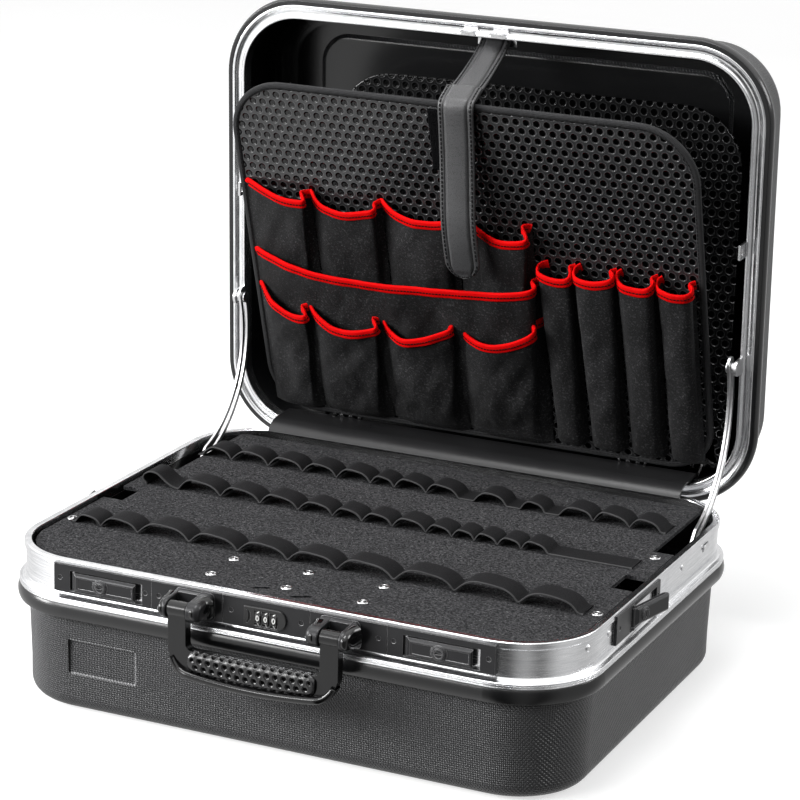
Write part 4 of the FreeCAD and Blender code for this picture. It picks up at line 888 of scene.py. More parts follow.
def binding_piece(name, out, matrix, body, node, width, w0, w1):
    """tape folded round the board's edge: a U section carried round the outline"""
    O = resample_closed(out, 3.0)
    n = len(O)
    T = tangents(np.c_[O, np.zeros(n)], True)
    N = np.stack([T[:, 1], -T[:, 0], np.zeros(n)], 1)
    if ((O + N[:, :2] - O.mean(0)) ** 2).sum() < ((O - O.mean(0)) ** 2).sum():
        N = -N
    h = (w1 - w0)
    c = (w1 + w0) / 2
    sec = []
    for a, b in ((-width, -0.34), (-width + 0.5, -0.5), (-width * 0.45, -0.52), (-1.1, -0.5), (-0.3, -0.32), (0.0, 0.0), (-0.3, 0.32), (-1.1, 0.5),
                 (-width * 0.45, 0.56), (-width + 0.5, 0.52), (-width, 0.34)):
        sec.append((a, c + b * h))
    secs = []
    for i in range(n):
        k = 0.16 * noise3((O[i][0] * MM, O[i][1] * MM, 0), 70.0, 4.0)
        secs.append([(a - (0.35 * k if a < -2 else 0), b + (k if abs(b - c) > 0.3 * h and a < -1 else 0)) for a, b in sec])
    V, F, UV = sweep(np.c_[O, np.zeros(n)] * MM, N, np.tile((0, 0, 1.0), (n, 1)), np.array(secs) * MM, closed=True)
    bag = Bag()
    bag.add(V, F, UV, 0)
    # one row of stitches on the front
    St = resample_closed([tuple(p - q * (width - 1.3)) for p, q in zip(O, N[:, :2])], 3.4)
    m = len(St)
    for i in range(m):
        p, q = St[i], St[(i + 1) % m]
        d = (q - p)
        a, b = p + d * 0.18, p + d * 0.82
        zt = c + 0.56 * h
        path = np.array([(*a, zt - 0.05), (*((a + b) / 2), zt + 0.12), (*b, zt - 0.05)])
        t = d / np.linalg.norm(d)
        s_, f_, uv_ = sweep(path * MM, np.tile((t[1], -t[0], 0), (3, 1)), np.tile((0, 0, 1.0), (3, 1)), np.array(round_sec(0.6, 0.4, 0.2, 2)) * MM)
        bag.add(s_, f_, uv_, 1)
    ob = bag.make(name, ("binding", "thread_grey"), matrix)
    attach(ob, body)
    if node:
        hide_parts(node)
    return ob


def build_boards():
    out = rounded_outline(-202.0, 202.0, 0.4, 314.6, 48.4, 41.6)
    plate_piece("pocket_board_sheet", out, -2.9, 0.0, BOARD, "dimpled", "lid_board", "pocket_board", 0.8,
                ((-140.0, -118.0, -0.6, -1.5, 2.6, 1.55), (118.0, 140.0, -0.6, -1.5, 2.6, 1.55)))
    out2 = rounded_outline(-203.3, 203.3, -0.4, 315.8, 49.2, 42.6)
    binding_piece("pocket_board_tape", out2, BOARD, "pocket_board", "board_binding", 5.5, -3.2, 1.05)
    outb = rounded_outline(-150.0, 208.0, 0.0, 298.0, 50.0, 6.0)
    # the rear board takes the darkened copy: painted shade
    plate_piece("rear_board_sheet", outb, -1.5, 1.5, BACK, "dimpled_rear", "back_board", "rear_board", 0.8,
                ((-150.0, -130.0, 0.0, 0.0, 2.7, 1.5), (166.0, 186.0, 0.0, 0.0, 2.7, 1.5)))


build_boards()


# ------------------------------------------------------------------ felt tool board
def build_felt():
    src = NODES["tool_board"]
    me = src.data.copy()
    ob = bpy.data.objects.new("tool_board_felt", me)
    COL.objects.link(ob)
    me.materials.clear()
    me.materials.append(M["felt"])
    bev = ob.modifiers.new("b", "BEVEL")
    bev.width = 0.9 * MM
    bev.segments = 3
    bev.limit_method = "ANGLE"
    bev.angle_limit = math.radians(50)
    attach(ob, "tool_tray")
    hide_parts("tool_board")
    # small slits left in the felt in front of the first row; their near-black colour is painted shade inside the cuts
    bag = Bag()
    for (xa, ya), (xb, yb) in (((-24.0, -167.0), (-12.6, -160.7)), ((8.9, -170.5), (23.1, -162.8))):
        a, b = np.array((xa, ya)), np.array((xb, yb))
        n = 9
        P = np.array([(*(a + (b - a) * t), TOP + 0.28 * math.sin(math.pi * t)) for t in np.linspace(0, 1, n)])
        t = (b - a) / np.linalg.norm(b - a)
        secs = [np.array([(-1.0, 0.05), (-0.35, 0.32), (-0.05, -0.1), (0.05, -0.1), (0.35, 0.32), (1.0, 0.05), (0.0, -0.25)]) * 1.5 * (0.25 + math.sin(math.pi * q) * (0.75 + 0.5 * math.sin(9 * q))) for q in np.linspace(0.02, 0.98, n)]
        V, F, UV = sweep(P * MM, np.tile((t[1], -t[0], 0), (n, 1)), np.tile((0, 0, 1.0), (n, 1)), np.array(secs) * MM)
        bag.add(V, F, UV, 0)
    sl = bag.make("felt_slits", ("fuzz",))
    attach(sl, "tool_tray")


build_felt()


# ------------------------------------------------------------------ pockets
def pocket_panel(bag, top, bottom, rows=26, cols=72, bulge=0.62, wr=1.0, seed=0.0, pleat=0.0, mi=0):
    """fabric panel hung from its top line down to its bottom line; returns its smooth top line"""
    T = catmull(top, cols)
    B = catmull(bottom, cols)
    V = np.zeros((rows, cols, 3))
    for i in range(rows):
        t = i / (rows - 1)
        g = t ** bulge
        V[i, :, 0] = B[:, 0] + (T[:, 0] - B[:, 0]) * (0.35 * t + 0.65 * t ** 0.8)
        V[i, :, 1] = B[:, 1] + (T[:, 1] - B[:, 1]) * t
        V[i, :, 2] = B[:, 2] + (T[:, 2] - B[:, 2]) * g
    # soft folds: streaks that run down and to the right, fading at the seams
    for i in range(rows):
        t = i / (rows - 1)
        for j in range(cols):
            s = j / (cols - 1)
            fade = math.sin(math.pi * min(1, max(0, s))) ** 0.6 * (1 - 0.75 * t ** 6) * min(1.0, t * 5)
            u, v, w = V[i, j]
            q = noise.noise(Vector(((u + 0.35 * v) * 0.034, v * 0.011, seed))) * 4.4
            q += noise.noise(Vector(((u - 0.5 * v) * 0.060, v * 0.030, seed + 7.1))) * 2.3
            q += noise.noise(Vector((u * 0.14, v * 0.09, seed + 3.3))) * 0.5
            V[i, j, 2] = max(w + q * fade * wr, 0.7)
    du = np.r_[0, np.cumsum(np.linalg.norm(np.diff(T, axis=0), axis=1))]
    UV = np.zeros((rows, cols, 2))
    for i in range(rows):
        UV[i, :, 0] = du
        UV[i, :, 1] = V[i, :, 1]
    # double the panel back on itself to give it a thickness
    nrm = np.zeros_like(V)
    dj = np.gradient(V, axis=1)
    di = np.gradient(V, axis=0)
    nrm = np.cross(dj, di)
    nrm /= np.maximum(np.linalg.norm(nrm, axis=2, keepdims=True), 1e-9)
    th = 0.5
    bag.add((V.reshape(-1, 3)) * MM, grid_faces(rows, cols), UV.reshape(-1, 2) * MM, mi)
    bag.add((V - nrm * th * 2).reshape(-1, 3) * MM, [tuple(reversed(f)) for f in grid_faces(rows, cols)], UV.reshape(-1, 2) * MM, mi)
    return V[-1].copy(), nrm[-1].copy()


def trim_tape(bag, line, nrm, height=6.6, thick=2.3, stitch=True):
    """red tape folded over the panel's top edge, with a stitch row near its lower edge"""
    L = np.asarray(line, float)
    n = len(L)
    Tn = tangents(L)
    up = np.tile((0.0, 1.0, 0.0), (n, 1))
    side = nrm.copy()
    for _ in range(3):
        side[1:-1] = (side[:-2] + side[1:-1] + side[2:]) / 3
    side -= Tn * (side * Tn).sum(1, keepdims=True)
    side /= np.maximum(np.linalg.norm(side, axis=1, keepdims=True), 1e-9)
    up = np.cross(Tn, side)
    up *= np.sign(up[:, 1:2] + 1e-9)
    h, t = height, thick
    sec = [(0.0, -h), (t * 0.30, -h + 0.15), (t * 0.46, -h + 0.9), (t * 0.40, -h + 1.7), (t * 0.52, -h * 0.45), (t * 0.50, -0.9), (t * 0.30, 0.25), (0.0, 0.5),
           (-t * 0.30, 0.25), (-t * 0.50, -0.9), (-t * 0.50, -h * 0.5), (-t * 0.40, -h + 1.0), (-t * 0.22, -h + 0.1)]
    V, F, UV = sweep(L * MM, side, up, np.array(sec) * MM)
    bag.add(V, F, UV, 0)
    if not stitch:
        return
    S = L + side * (t * 0.50 + 0.22) + up * (-h * 0.50)
    d = np.r_[0, np.cumsum(np.linalg.norm(np.diff(S, axis=0), axis=1))]
    q = 1.2
    while q + 2.0 < d[-1]:
        pts = np.stack([np.interp([q, q + 0.95, q + 1.9], d, S[:, k]) for k in range(3)], 1)
        sd = np.stack([np.interp([q, q + 0.95, q + 1.9], d, side[:, k]) for k in range(3)], 1)
        uu = np.stack([np.interp([q, q + 0.95, q + 1.9], d, up[:, k]) for k in range(3)], 1)
        pts[1] += sd[1] * 0.15
        V, F, UV = sweep(pts * MM, uu, sd, np.array(round_sec(1.05, 0.6, 0.28, 2)) * MM)
        bag.add(V, F, UV, 1)
        q += 2.9


def line_on(pts):
    return [tuple(p) for p in pts]


def build_pockets():
    red = Bag()
    rows = {}

    def panel(key, *a, **k):
        bag = rows.setdefault(key, Bag())
        return pocket_panel(bag, *a, **k)

    # upper row: four pockets, hung between v 106 and 224
    ups = [
        ([(-198.2, 221.5, 0.6), (-195.5, 224.0, 1.0), (-186.3, 222.6, 5.0), (-176.6, 220.4, 9.0), (-165.6, 218.3, 12.5), (-155.2, 217.3, 14.5), (-145.0, 217.5, 15.6),
          (-138.2, 218.2, 15.4), (-140.4, 220.0, 11.0), (-143.6, 221.6, 7.0), (-140.2, 221.0, 3.0), (-137.6, 220.4, 0.9)], -197.5, -138.5),
        ([(-137.4, 220.8, 0.9), (-134.8, 220.4, 3.5), (-130.7, 216.6, 7.0), (-124.8, 213.4, 10.0), (-116.1, 211.5, 12.5), (-105.8, 210.7, 14.5), (-95.8, 211.9, 15.5),
          (-86.0, 214.4, 16.0), (-76.4, 217.0, 15.8), (-74.6, 218.4, 12.0), (-77.4, 219.4, 7.0), (-75.2, 220.2, 3.0), (-73.4, 220.6, 0.9)], -137.0, -74.0),
        ([(-72.8, 220.8, 0.9), (-70.0, 220.2, 3.5), (-63.5, 217.4, 7.5), (-54.4, 214.6, 11.0), (-42.5, 213.0, 14.0), (-31.1, 213.0, 15.5), (-20.0, 214.0, 16.0),
          (-11.0, 216.4, 15.6), (-9.2, 218.6, 11.0), (-12.0, 219.6, 7.0), (-9.6, 220.0, 3.0), (-8.0, 220.0, 0.9)], -72.6, -9.0),
        ([(-7.0, 217.0, 0.9), (-3.0, 215.4, 2.6), (6.0, 211.6, 5.0), (14.6, 208.4, 7.5), (24.7, 205.3, 12.0), (36.0, 203.6, 14.5), (50.2, 205.4, 16.0), (58.6, 208.0, 15.4),
          (57.2, 211.4, 11.0), (53.2, 215.6, 7.0), (56.4, 215.4, 3.0), (59.0, 214.2, 0.9)], -7.4, 58.6),
    ]
    for i, (top, ua, ub) in enumerate(ups):
        c = [ua + (ub - ua) * t for t in (0.0, 0.25, 0.5, 0.75, 1.0)]
        bot = [(c[0], 116.0, 0.8), (c[1], 114.0, 1.6), (c[2], 113.0, 2.0), (c[3], 114.0, 2.0), (c[4], 116.0, 0.8)]
        ln, nr = panel("pocket_row_upper", top, bot, rows=22, seed=2.0 + i * 3.7, bulge=0.8, wr=0.75)
        trim_tape(red, ln, nr, 7.4, 2.5)
    # middle: one long panel whose lower part carries the lower row
    mid = [(-198.0, 157.5, 0.8), (-194.5, 159.0, 2.2), (-186.9, 157.9, 6.0), (-167.6, 155.4, 12.5), (-149.9, 153.2, 16.4), (-133.3, 151.4, 18.6), (-100.7, 150.8, 20.6),
           (-69.1, 151.4, 21.2), (-37.7, 153.4, 21.6), (-8.0, 155.2, 21.6), (17.4, 157.2, 21.8), (35.1, 158.9, 21.8), (50.0, 161.4, 21.4), (61.0, 164.4, 20.0),
           (63.4, 165.8, 15.0), (58.4, 167.2, 9.0), (61.6, 167.6, 4.0), (62.8, 167.6, 0.9)]
    xs = np.linspace(-197.8, 62.4, 16)
    bot = [(x, 8.0, 0.9 if i in (0, 15) else 1.5) for i, x in enumerate(xs)]
    ln, nr = panel("pocket_row_middle", mid, bot, rows=30, cols=200, seed=21.0, bulge=0.85, wr=1.0)
    trim_tape(red, ln, nr, 7.6, 2.5)
    # lower row: four pockets in front of it
    lows = [
        ([(-197.4, 125.4, 1.6), (-194.4, 125.6, 3.4), (-187.7, 120.9, 10.0), (-180.3, 115.6, 15.0), (-170.7, 111.7, 19.0), (-161.9, 109.2, 21.0), (-153.3, 109.1, 22.0),
          (-147.8, 110.4, 21.6), (-149.6, 113.6, 18.0), (-152.6, 115.8, 15.6), (-149.2, 116.8, 13.0), (-147.4, 117.0, 11.4)], -197.0, -150.0),
        ([(-146.8, 116.2, 11.4), (-144.2, 115.0, 14.0), (-138.8, 112.2, 18.0), (-130.0, 107.4, 21.0), (-121.4, 104.1, 23.0), (-108.0, 103.4, 24.6), (-91.6, 106.0, 25.0),
          (-81.2, 109.8, 24.6), (-82.4, 112.6, 20.6), (-86.0, 114.8, 17.0), (-82.0, 115.0, 14.4), (-79.6, 114.8, 12.6)], -149.0, -84.0),
        ([(-78.6, 113.4, 12.6), (-76.0, 111.6, 15.6), (-72.0, 108.3, 19.0), (-65.0, 104.8, 22.2), (-57.8, 103.0, 24.2), (-49.2, 104.0, 25.6), (-37.7, 107.6, 26.0), (-25.0, 112.6, 25.4),
          (-13.0, 118.4, 23.4), (-12.6, 119.6, 19.0), (-16.6, 119.8, 16.0), (-12.8, 118.8, 13.6), (-10.2, 117.8, 12.0)], -83.0, -13.0),
        ([(-9.2, 118.4, 12.4), (-6.0, 117.0, 15.0), (-0.5, 113.4, 19.0), (9.4, 110.0, 22.2), (23.0, 109.4, 25.2), (36.2, 113.0, 26.0), (50.4, 119.2, 25.0), (60.6, 125.6, 22.4),
          (61.0, 128.0, 17.0), (56.4, 128.6, 12.0), (60.2, 128.8, 6.0), (62.4, 128.8, 1.4)], -12.0, 62.0),
    ]
    for i, (top, ua, ub) in enumerate(lows):
        c = [ua + (ub - ua) * t for t in (0.0, 0.2, 0.5, 0.8, 1.0)]
        bot = [(c[0], 8.2, 1.6), (c[1], 6.2, 3.6), (c[2], 5.6, 4.4), (c[3], 6.2, 4.4), (c[4], 8.2, 1.8)]
        ln, nr = panel("pocket_row_lower", top, bot, rows=34, cols=84, seed=40.0 + i * 5.3, bulge=0.62, wr=1.15)
        trim_tape(red, ln, nr, 7.6, 2.5)
    # tall narrow pockets
    nar = [
        ([(70.4, 183.2, 0.9), (66.4, 182.6, 3.6), (64.0, 180.9, 8.0), (66.6, 177.8, 13.0), (75.9, 176.2, 16.0), (86.4, 176.2, 16.4), (92.6, 178.0, 14.6), (92.6, 181.2, 8.6),
          (90.4, 182.6, 4.4), (93.6, 183.0, 0.9)], 65.6, 94.0),
        ([(98.2, 184.2, 0.9), (95.8, 183.0, 4.0), (95.6, 181.6, 9.0), (98.6, 179.2, 14.0), (106.0, 178.4, 16.6), (114.1, 178.4, 17.2), (124.0, 180.4, 17.0), (130.0, 182.6, 14.6),
          (129.2, 183.8, 9.0), (125.6, 184.0, 5.0), (129.0, 184.0, 0.9)], 96.6, 129.0),
        ([(133.2, 184.0, 0.9), (131.2, 183.0, 4.4), (132.4, 181.6, 9.6), (136.4, 179.6, 14.0), (142.5, 178.2, 16.4), (154.7, 178.0, 17.2), (161.6, 179.6, 16.0), (163.6, 182.0, 10.0),
          (160.6, 183.0, 6.0), (163.6, 183.4, 0.9)], 131.6, 163.6),
        ([(167.4, 182.4, 0.9), (165.4, 181.4, 4.4), (166.0, 180.0, 9.6), (169.0, 178.4, 13.8), (174.6, 177.2, 15.8), (181.3, 176.4, 17.0), (190.2, 176.8, 16.6), (195.4, 178.4, 13.4),
          (195.2, 180.6, 8.6), (191.8, 181.4, 5.0), (195.0, 182.0, 0.9)], 166.0, 195.6),
    ]
    for i, (top, ua, ub) in enumerate(nar):
        c = [ua + (ub - ua) * t for t in (0.0, 0.16, 0.5, 0.84, 1.0)]
        bot = [(c[0], 13.0, 0.9), (c[1], 11.0, 5.0), (c[2], 10.4, 6.4), (c[3], 11.0, 5.2), (c[4], 13.0, 0.9)]
        ln, nr = panel("pocket_row_narrow", top, bot, rows=34, cols=60, seed=70.0 + i * 4.1, bulge=0.42, wr=0.7)
        trim_tape(red, ln, nr, 7.4, 2.5)
    for name, node in (("pocket_row_upper", "pockets_upper"), ("pocket_row_middle", "pockets_middle"), ("pocket_row_lower", "pockets_lower"),
                       ("pocket_row_narrow", "pockets_narrow")):
        if name == "pocket_row_lower":
            # the lower pockets lie back where the tray comes past them when it is lifted out
            vs = []
            for u, v, w in rows[name].V:
                near = max(0.0, 1.0 - abs(v - 0.0765) / 0.030)
                vs.append((u, v, w * (1.0 - 0.125 * near * near * (3.0 - 2.0 * near))))
            rows[name].V = vs
        ob = rows[name].make(name, ("twill",), BOARD)
        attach(ob, "pocket_board")
        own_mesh(ob)
        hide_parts(node)
    tr = red.make("red_trims", ("trim", "thread_dark"), BOARD)
    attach(tr, "pocket_board")
    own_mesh(tr)
    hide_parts("pocket_trims")


build_pockets()


# ------------------------------------------------------------------ straps
def strap_section(w, t, ridge=0.9):
    """leather strap across its width: stitched borders, a groove and a raised middle"""
    e = w / 2
    h = t * 0.5
    top = [(e, 0.0), (e - 0.25, h * 0.7), (e - 1.0, h), (e - 3.9, h), (e - 4.7, h - 0.15), (e - 5.0, h - 0.75), (e - 5.4, h - 0.1), (e - 6.2, h + ridge * 0.8),
           (e - 8.2, h + ridge), (0.0, h + ridge * 1.1)]
    top += [(-a, b) for a, b in reversed(top[:-1])]
    bot = [(-e + 0.2, -h * 0.7), (-e + 0.9, -h), (0.0, -h), (e - 0.9, -h), (e - 0.2, -h * 0.7)]
    return top + bot


def stitch_row(bag, P, side, up, off, lift, mi=1, pitch=3.6, long=2.4):
    S = P + side * off + up * lift
    d = np.r_[0, np.cumsum(np.linalg.norm(np.diff(S, axis=0), axis=1))]
    q = 1.0
    while q + long < d[-1]:
        k = [q, q + long / 2, q + long]
        pts = np.stack([np.interp(k, d, S[:, c]) for c in range(3)], 1)
        sd = np.stack([np.interp(k, d, side[:, c]) for c in range(3)], 1)
        uu = np.stack([np.interp(k, d, up[:, c]) for c in range(3)], 1)
        pts[1] += uu[1] * 0.12
        V, F, UV = sweep(pts * MM, sd, uu, np.array(round_sec(1.25, 0.7, 0.33, 2)) * MM)
        bag.add(V, F, UV, mi)
        q += pitch


def build_straps():
    # hanging strap in board coordinates: (u, v, w)
    key = [(3.4, 321.9, -16.0), (3.7, 320.8, -8.0), (3.9, 319.9, -3.0), (4.0, 318.7, 1.8), (4.0, 315.4, 5.0), (4.0, 309.0, 6.4), (3.9, 298.0, 7.4), (3.6, 270.0, 11.0), (3.4, 240.0, 16.4), (3.6, 222.0, 20.2), (4.2, 205.0, 22.4), (5.0, 190.0, 23.4),
           (5.6, 170.0, 23.6)]
    P = catmull(key, 120)
    T = tangents(P)
    side = np.tile((1.0, 0.0, 0.0), (len(P), 1))
    side -= T * (side * T).sum(1, keepdims=True)
    side /= np.linalg.norm(side, axis=1, keepdims=True)
    up = np.cross(side, T)
    if up[len(P) // 2][2] < 0:
        up = -up
    W, t = 30.6, 2.6
    d = np.r_[0, np.cumsum(np.linalg.norm(np.diff(P, axis=0), axis=1))]
    secs = []
    base = np.array(strap_section(W, t))
    for i in range(len(P)):
        left = d[-1] - d[i]
        k = 1.0 if left > W / 2 else math.sqrt(max(0.0, 1 - ((W / 2 - left) / (W / 2)) ** 2))
        k = max(k, 0.04)
        s = base.copy()
        s[:, 0] *= k
        if left < 8:
            s[:, 1] = np.minimum(s[:, 1], t * 0.5 + 1.0 * max(0.0, (left - 4) / 4))
        secs.append(s)
    bag = Bag()
    V, F, UV = sweep(P * MM, side, up, np.array(secs) * MM)
    bag.add(V, F, UV, 0)
    stop = np.searchsorted(d, d[-1] - W / 2)
    for s_ in (-1, 1):
        stitch_row(bag, P[:stop], side[:stop], up[:stop], s_ * (W / 2 - 2.3), t * 0.5 + 0.12)
    # stitches round the end
    arc = []
    for a in np.linspace(0, math.pi, 24):
        arc.append((P[stop][0] + (W / 2 - 2.3) * math.cos(a), P[stop][1] - (W / 2 - 2.3) * math.sin(a) + 0.0, 0.0))
    arc = np.array(arc)
    arc[:, 2] = np.interp(arc[:, 1], P[::-1][:, 1], P[::-1][:, 2])
    Ta = tangents(arc)
    ua = np.tile(up[stop], (len(arc), 1))
    sa = np.cross(Ta, ua)
    stitch_row(bag, arc, sa, ua, 0.0, t * 0.5 + 0.12)
    ob = bag.make("hanging_strap_leather", ("strap", "thread_grey"), BOARD)
    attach(ob, "pocket_board")
    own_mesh(ob)
    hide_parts("hanging_strap")
    # strap from the frame to the board's top edge, in world coordinates
    top = BOARD @ Vector((4.0 * MM, 317.0 * MM, -1.5 * MM))
    a = Vector((0.5, 205.0, 477.4))
    b = top / MM
    key = [a + Vector((0, 2.0, 1.2)), a + Vector((0, -3.0, -0.9)), a.lerp(b, 0.12) + Vector((0, 0, -1.6)), a.lerp(b, 0.35) + Vector((0, 0, -2.6)), a.lerp(b, 0.6) + Vector((0, 0, -2.0)),
           a.lerp(b, 0.85) + Vector((0, 0, 0.2)), b + Vector((0, 1.0, 1.4)), b + Vector((0, -2.6, 0.8))]
    P = catmull([tuple(k) for k in key], 48)
    T = tangents(P)
    side = np.tile((1.0, 0.0, 0.0), (len(P), 1))
    side -= T * (side * T).sum(1, keepdims=True)
    side /= np.linalg.norm(side, axis=1, keepdims=True)
    up = np.cross(side, T)
    up *= np.sign(up[:, 2:3] + 1e-6)
    bag = Bag()
    secs = []
    for i in range(len(P)):
        k = 26.0 + 4.0 * (i / (len(P) - 1)) ** 2
        secs.append(np.array(strap_section(k, 2.3, 0.8)))
    V, F, UV = sweep(P * MM, side, up, np.array(secs) * MM)
    bag.add(V, F, UV, 0)
    for s_ in (-1, 1):
        stitch_row(bag, P[1:-2], side[1:-2], up[1:-2], s_ * 11.2, 1.32)
    br = bag.make("bridge_strap_leather", ("strap", "thread_grey"))
    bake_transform(br)
    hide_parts("strap_bridge")
    # hook-and-loop strip: a rough pad with a fuzzy face
    n, m = 15, 50
    bag = Bag()
    V, UV = [], []
    for i in range(n):
        for j in range(m):
            a, b = i / (n - 1), j / (m - 1)
            u, v = -23.8 + 16.0 * a, 253.4 + 55.0 * b
            e = min(min(a, 1 - a) * 16.0, min(b, 1 - b) * 55.0)
            h = 1.5 * min(1.0, e / 1.0) ** 0.5 + 0.28 * rnd.uniform(-1, 1) * min(1.0, e / 1.5)
            V.append((u * MM, v * MM, max(h, 0.05) * MM))
            UV.append((u * MM, v * MM))
    bag.add(V, [tuple(reversed(f)) for f in grid_faces(n, m)], UV, 0)
    ob = bag.make("hook_strip", ("fuzz",), BOARD)
    sub = ob.modifiers.new("s", "SUBSURF")
    sub.levels = sub.render_levels = 1
    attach(ob, "pocket_board")
    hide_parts("velcro_strip")


build_straps()


# ------------------------------------------------------------------ numbers on the dials
def build_numbers():
    cy, cz, R = -183.2, 108.0, 9.5
    for k, x in enumerate((-6.6, 0.0, 6.6)):
        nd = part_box("dial_%d" % (k + 1))
        cx = (nd[0][0] + nd[1][0]) / 2 / MM
        bag = Bag()
        for d in range(10):
            cu = bpy.data.curves.new("digit", "FONT")
            cu.body = str(d)
            cu.size = 5.9 * MM
            cu.align_x = "CENTER"
            cu.align_y = "CENTER"
            cu.extrude = 0.06 * MM
            cu.offset = 0.16 * MM
            cu.resolution_u = 4
            tob = bpy.data.objects.new("digit", cu)
            COL.objects.link(tob)
            dg = bpy.context.evaluated_depsgraph_get()
            me = bpy.data.meshes.new_from_object(tob.evaluated_get(dg))
            a = math.radians(180 + 36 * d)
            out = Vector((0, math.cos(a), math.sin(a)))
            upv = Vector((0, math.sin(a), -math.cos(a)))
            pos = Vector((cx * MM, cy * MM, cz * MM)) + out * (9.165 * MM)
            V = []
            for v in me.vertices:
                V.append(pos + Vector((1, 0, 0)) * v.co.x + upv * v.co.y + out * v.co.z)
            bag.add(V, [tuple(p.vertices) for p in me.polygons], None, 0)
            bpy.data.objects.remove(tob)
            bpy.data.meshes.remove(me)
            bpy.data.curves.remove(cu)
        ob = bag.make("dial_%d_numbers" % (k + 1), ("number",), None, False)
        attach(ob, "number_dial_%d" % (k + 1))


build_numbers()


# ------------------------------------------------------------------ grip, lugs, rivets
def tri_dots(a, b, pitch):
    py = pitch * math.sqrt(3.0)
    best = 9.0
    for o in (0.0, 0.5):
        fa = (a / pitch + o) % 1.0 - 0.5
        fb = ((b / py + o) % 1.0 - 0.5) * math.sqrt(3.0)
        best = min(best, math.hypot(fa, fb))
    return best


def build_grip():
    # pad: closed section carried along the handle's arc, with dimples pressed in
    nx, na = 170, 116
    V = []
    UV = []
    for i in range(nx):
        x = -51.6 + 103.2 * i / (nx - 1)
        end = min(x + 51.6, 51.6 - x)
        k = 1.0 if end > 5.0 else math.sqrt(max(0.02, 1 - ((5.0 - end) / 5.0) ** 2 * 0.55))
        dz = 3.4 * (x / 50.0) ** 2
        zc, hz = 71.6 + dz * 0.5, (9.9 - dz * 0.36) * k
        yc, hy = -209.7, 6.5 * (0.90 + 0.10 * k)
        for j in range(na):
            a = TAU * j / na
            ca, sa = math.cos(a), math.sin(a)
            y = yc + hy * math.copysign(abs(ca) ** 0.72, ca)
            z = zc + hz * math.copysign(abs(sa) ** 0.80, sa)
            V.append([x, y, z])
            UV.append((x * MM, a * 8.8 * MM))
    V = np.array(V).reshape(nx, na, 3)
    dj = np.roll(V, -1, 1) - np.roll(V, 1, 1)
    di = np.gradient(V, axis=0)
    N = np.cross(di, dj)
    N /= np.linalg.norm(N, axis=2, keepdims=True)
    c = V.mean(1, keepdims=True)
    if ((V - c) * N).sum() < 0:
        N = -N
    pit = np.zeros((nx, na), int)
    per = np.r_[0, np.cumsum(np.linalg.norm(np.diff(V[nx // 2], axis=0), axis=1))]
    for i in range(nx):
        for j in range(na):
            x, y, z = V[i, j]
            a = TAU * j / na
            front = -math.cos(a)
            if front < -0.35 or z < 64.0:
                continue
            d = tri_dots(x, per[j], 6.9)
            pit[i, j] = 1 if d < 0.27 and abs(x) < 49.2 else 0
            edge = min(1.0, max(0.0, (51.6 - abs(x) - 2.0) / 2.0))
            t = min(1.0, max(0.0, (d - 0.14) / 0.20))
            t = t * t * (3 - 2 * t)
            r = max(0.0, 1 - abs(d - 0.39) / 0.09)
            V[i, j] += N[i, j] * ((-1.25 * (1 - t)) * edge + 0.14 * r * edge)
    W = V.reshape(-1, 3)
    deep = pit.reshape(-1)
    plain, holes = [], []
    for f in grid_faces(nx, na, False, True):
        (holes if sum(deep[q] for q in f) >= 3 else plain).append(f)
    bag = Bag()
    bag.add(W * MM, plain + [tuple(reversed(range(na))), tuple((nx - 1) * na + q for q in range(na))], UV, 0)
    # the dimple floors take the near-black copy: painted shade
    bag.add(W * MM, holes, UV, 1)
    ob = bag.make("grip_pad", ("grip_skin", "pit"))
    bm = bmesh.new()
    bm.from_mesh(ob.data)
    bmesh.ops.remove_doubles(bm, verts=bm.verts, dist=1e-7)
    bm.to_mesh(ob.data)
    bm.free()
    fix_normals(ob)
    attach(ob, "carry_handle")
    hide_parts("handle_grip")
    # lip under the pad, from arm to arm
    key = [(-66.5, -209.9, 75.0), (-63.6, -209.9, 70.2), (-58.5, -209.9, 65.6), (-50.0, -209.9, 63.0), (-25.0, -209.9, 60.8), (0.0, -209.9, 60.0), (25.0, -209.9, 60.8),
           (50.0, -209.9, 63.0), (58.5, -209.9, 65.6), (63.6, -209.9, 70.2), (66.5, -209.9, 75.0)]
    P = catmull(key, 90)
    T = tangents(P)
    side = np.tile((0.0, 1.0, 0.0), (len(P), 1))
    up = np.cross(T, side)
    up *= np.sign(up[:, 2:3] + 1e-6)
    secs = []
    for i, q in enumerate(P):
        k = min(1.0, (67.2 - abs(q[0])) / 14.0) ** 0.6
        secs.append(np.array(round_sec(9.0 + 7.4 * k, 4.0 + 2.0 * k, 1.9 + 0.9 * k, 5)))
    V, F, UV = sweep(P * MM, side, up, np.array(secs) * MM)
    bag = Bag()
    bag.add(V, F, UV)
    ob = bag.make("handle_lip", ("gloss",))
    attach(ob, "carry_handle")


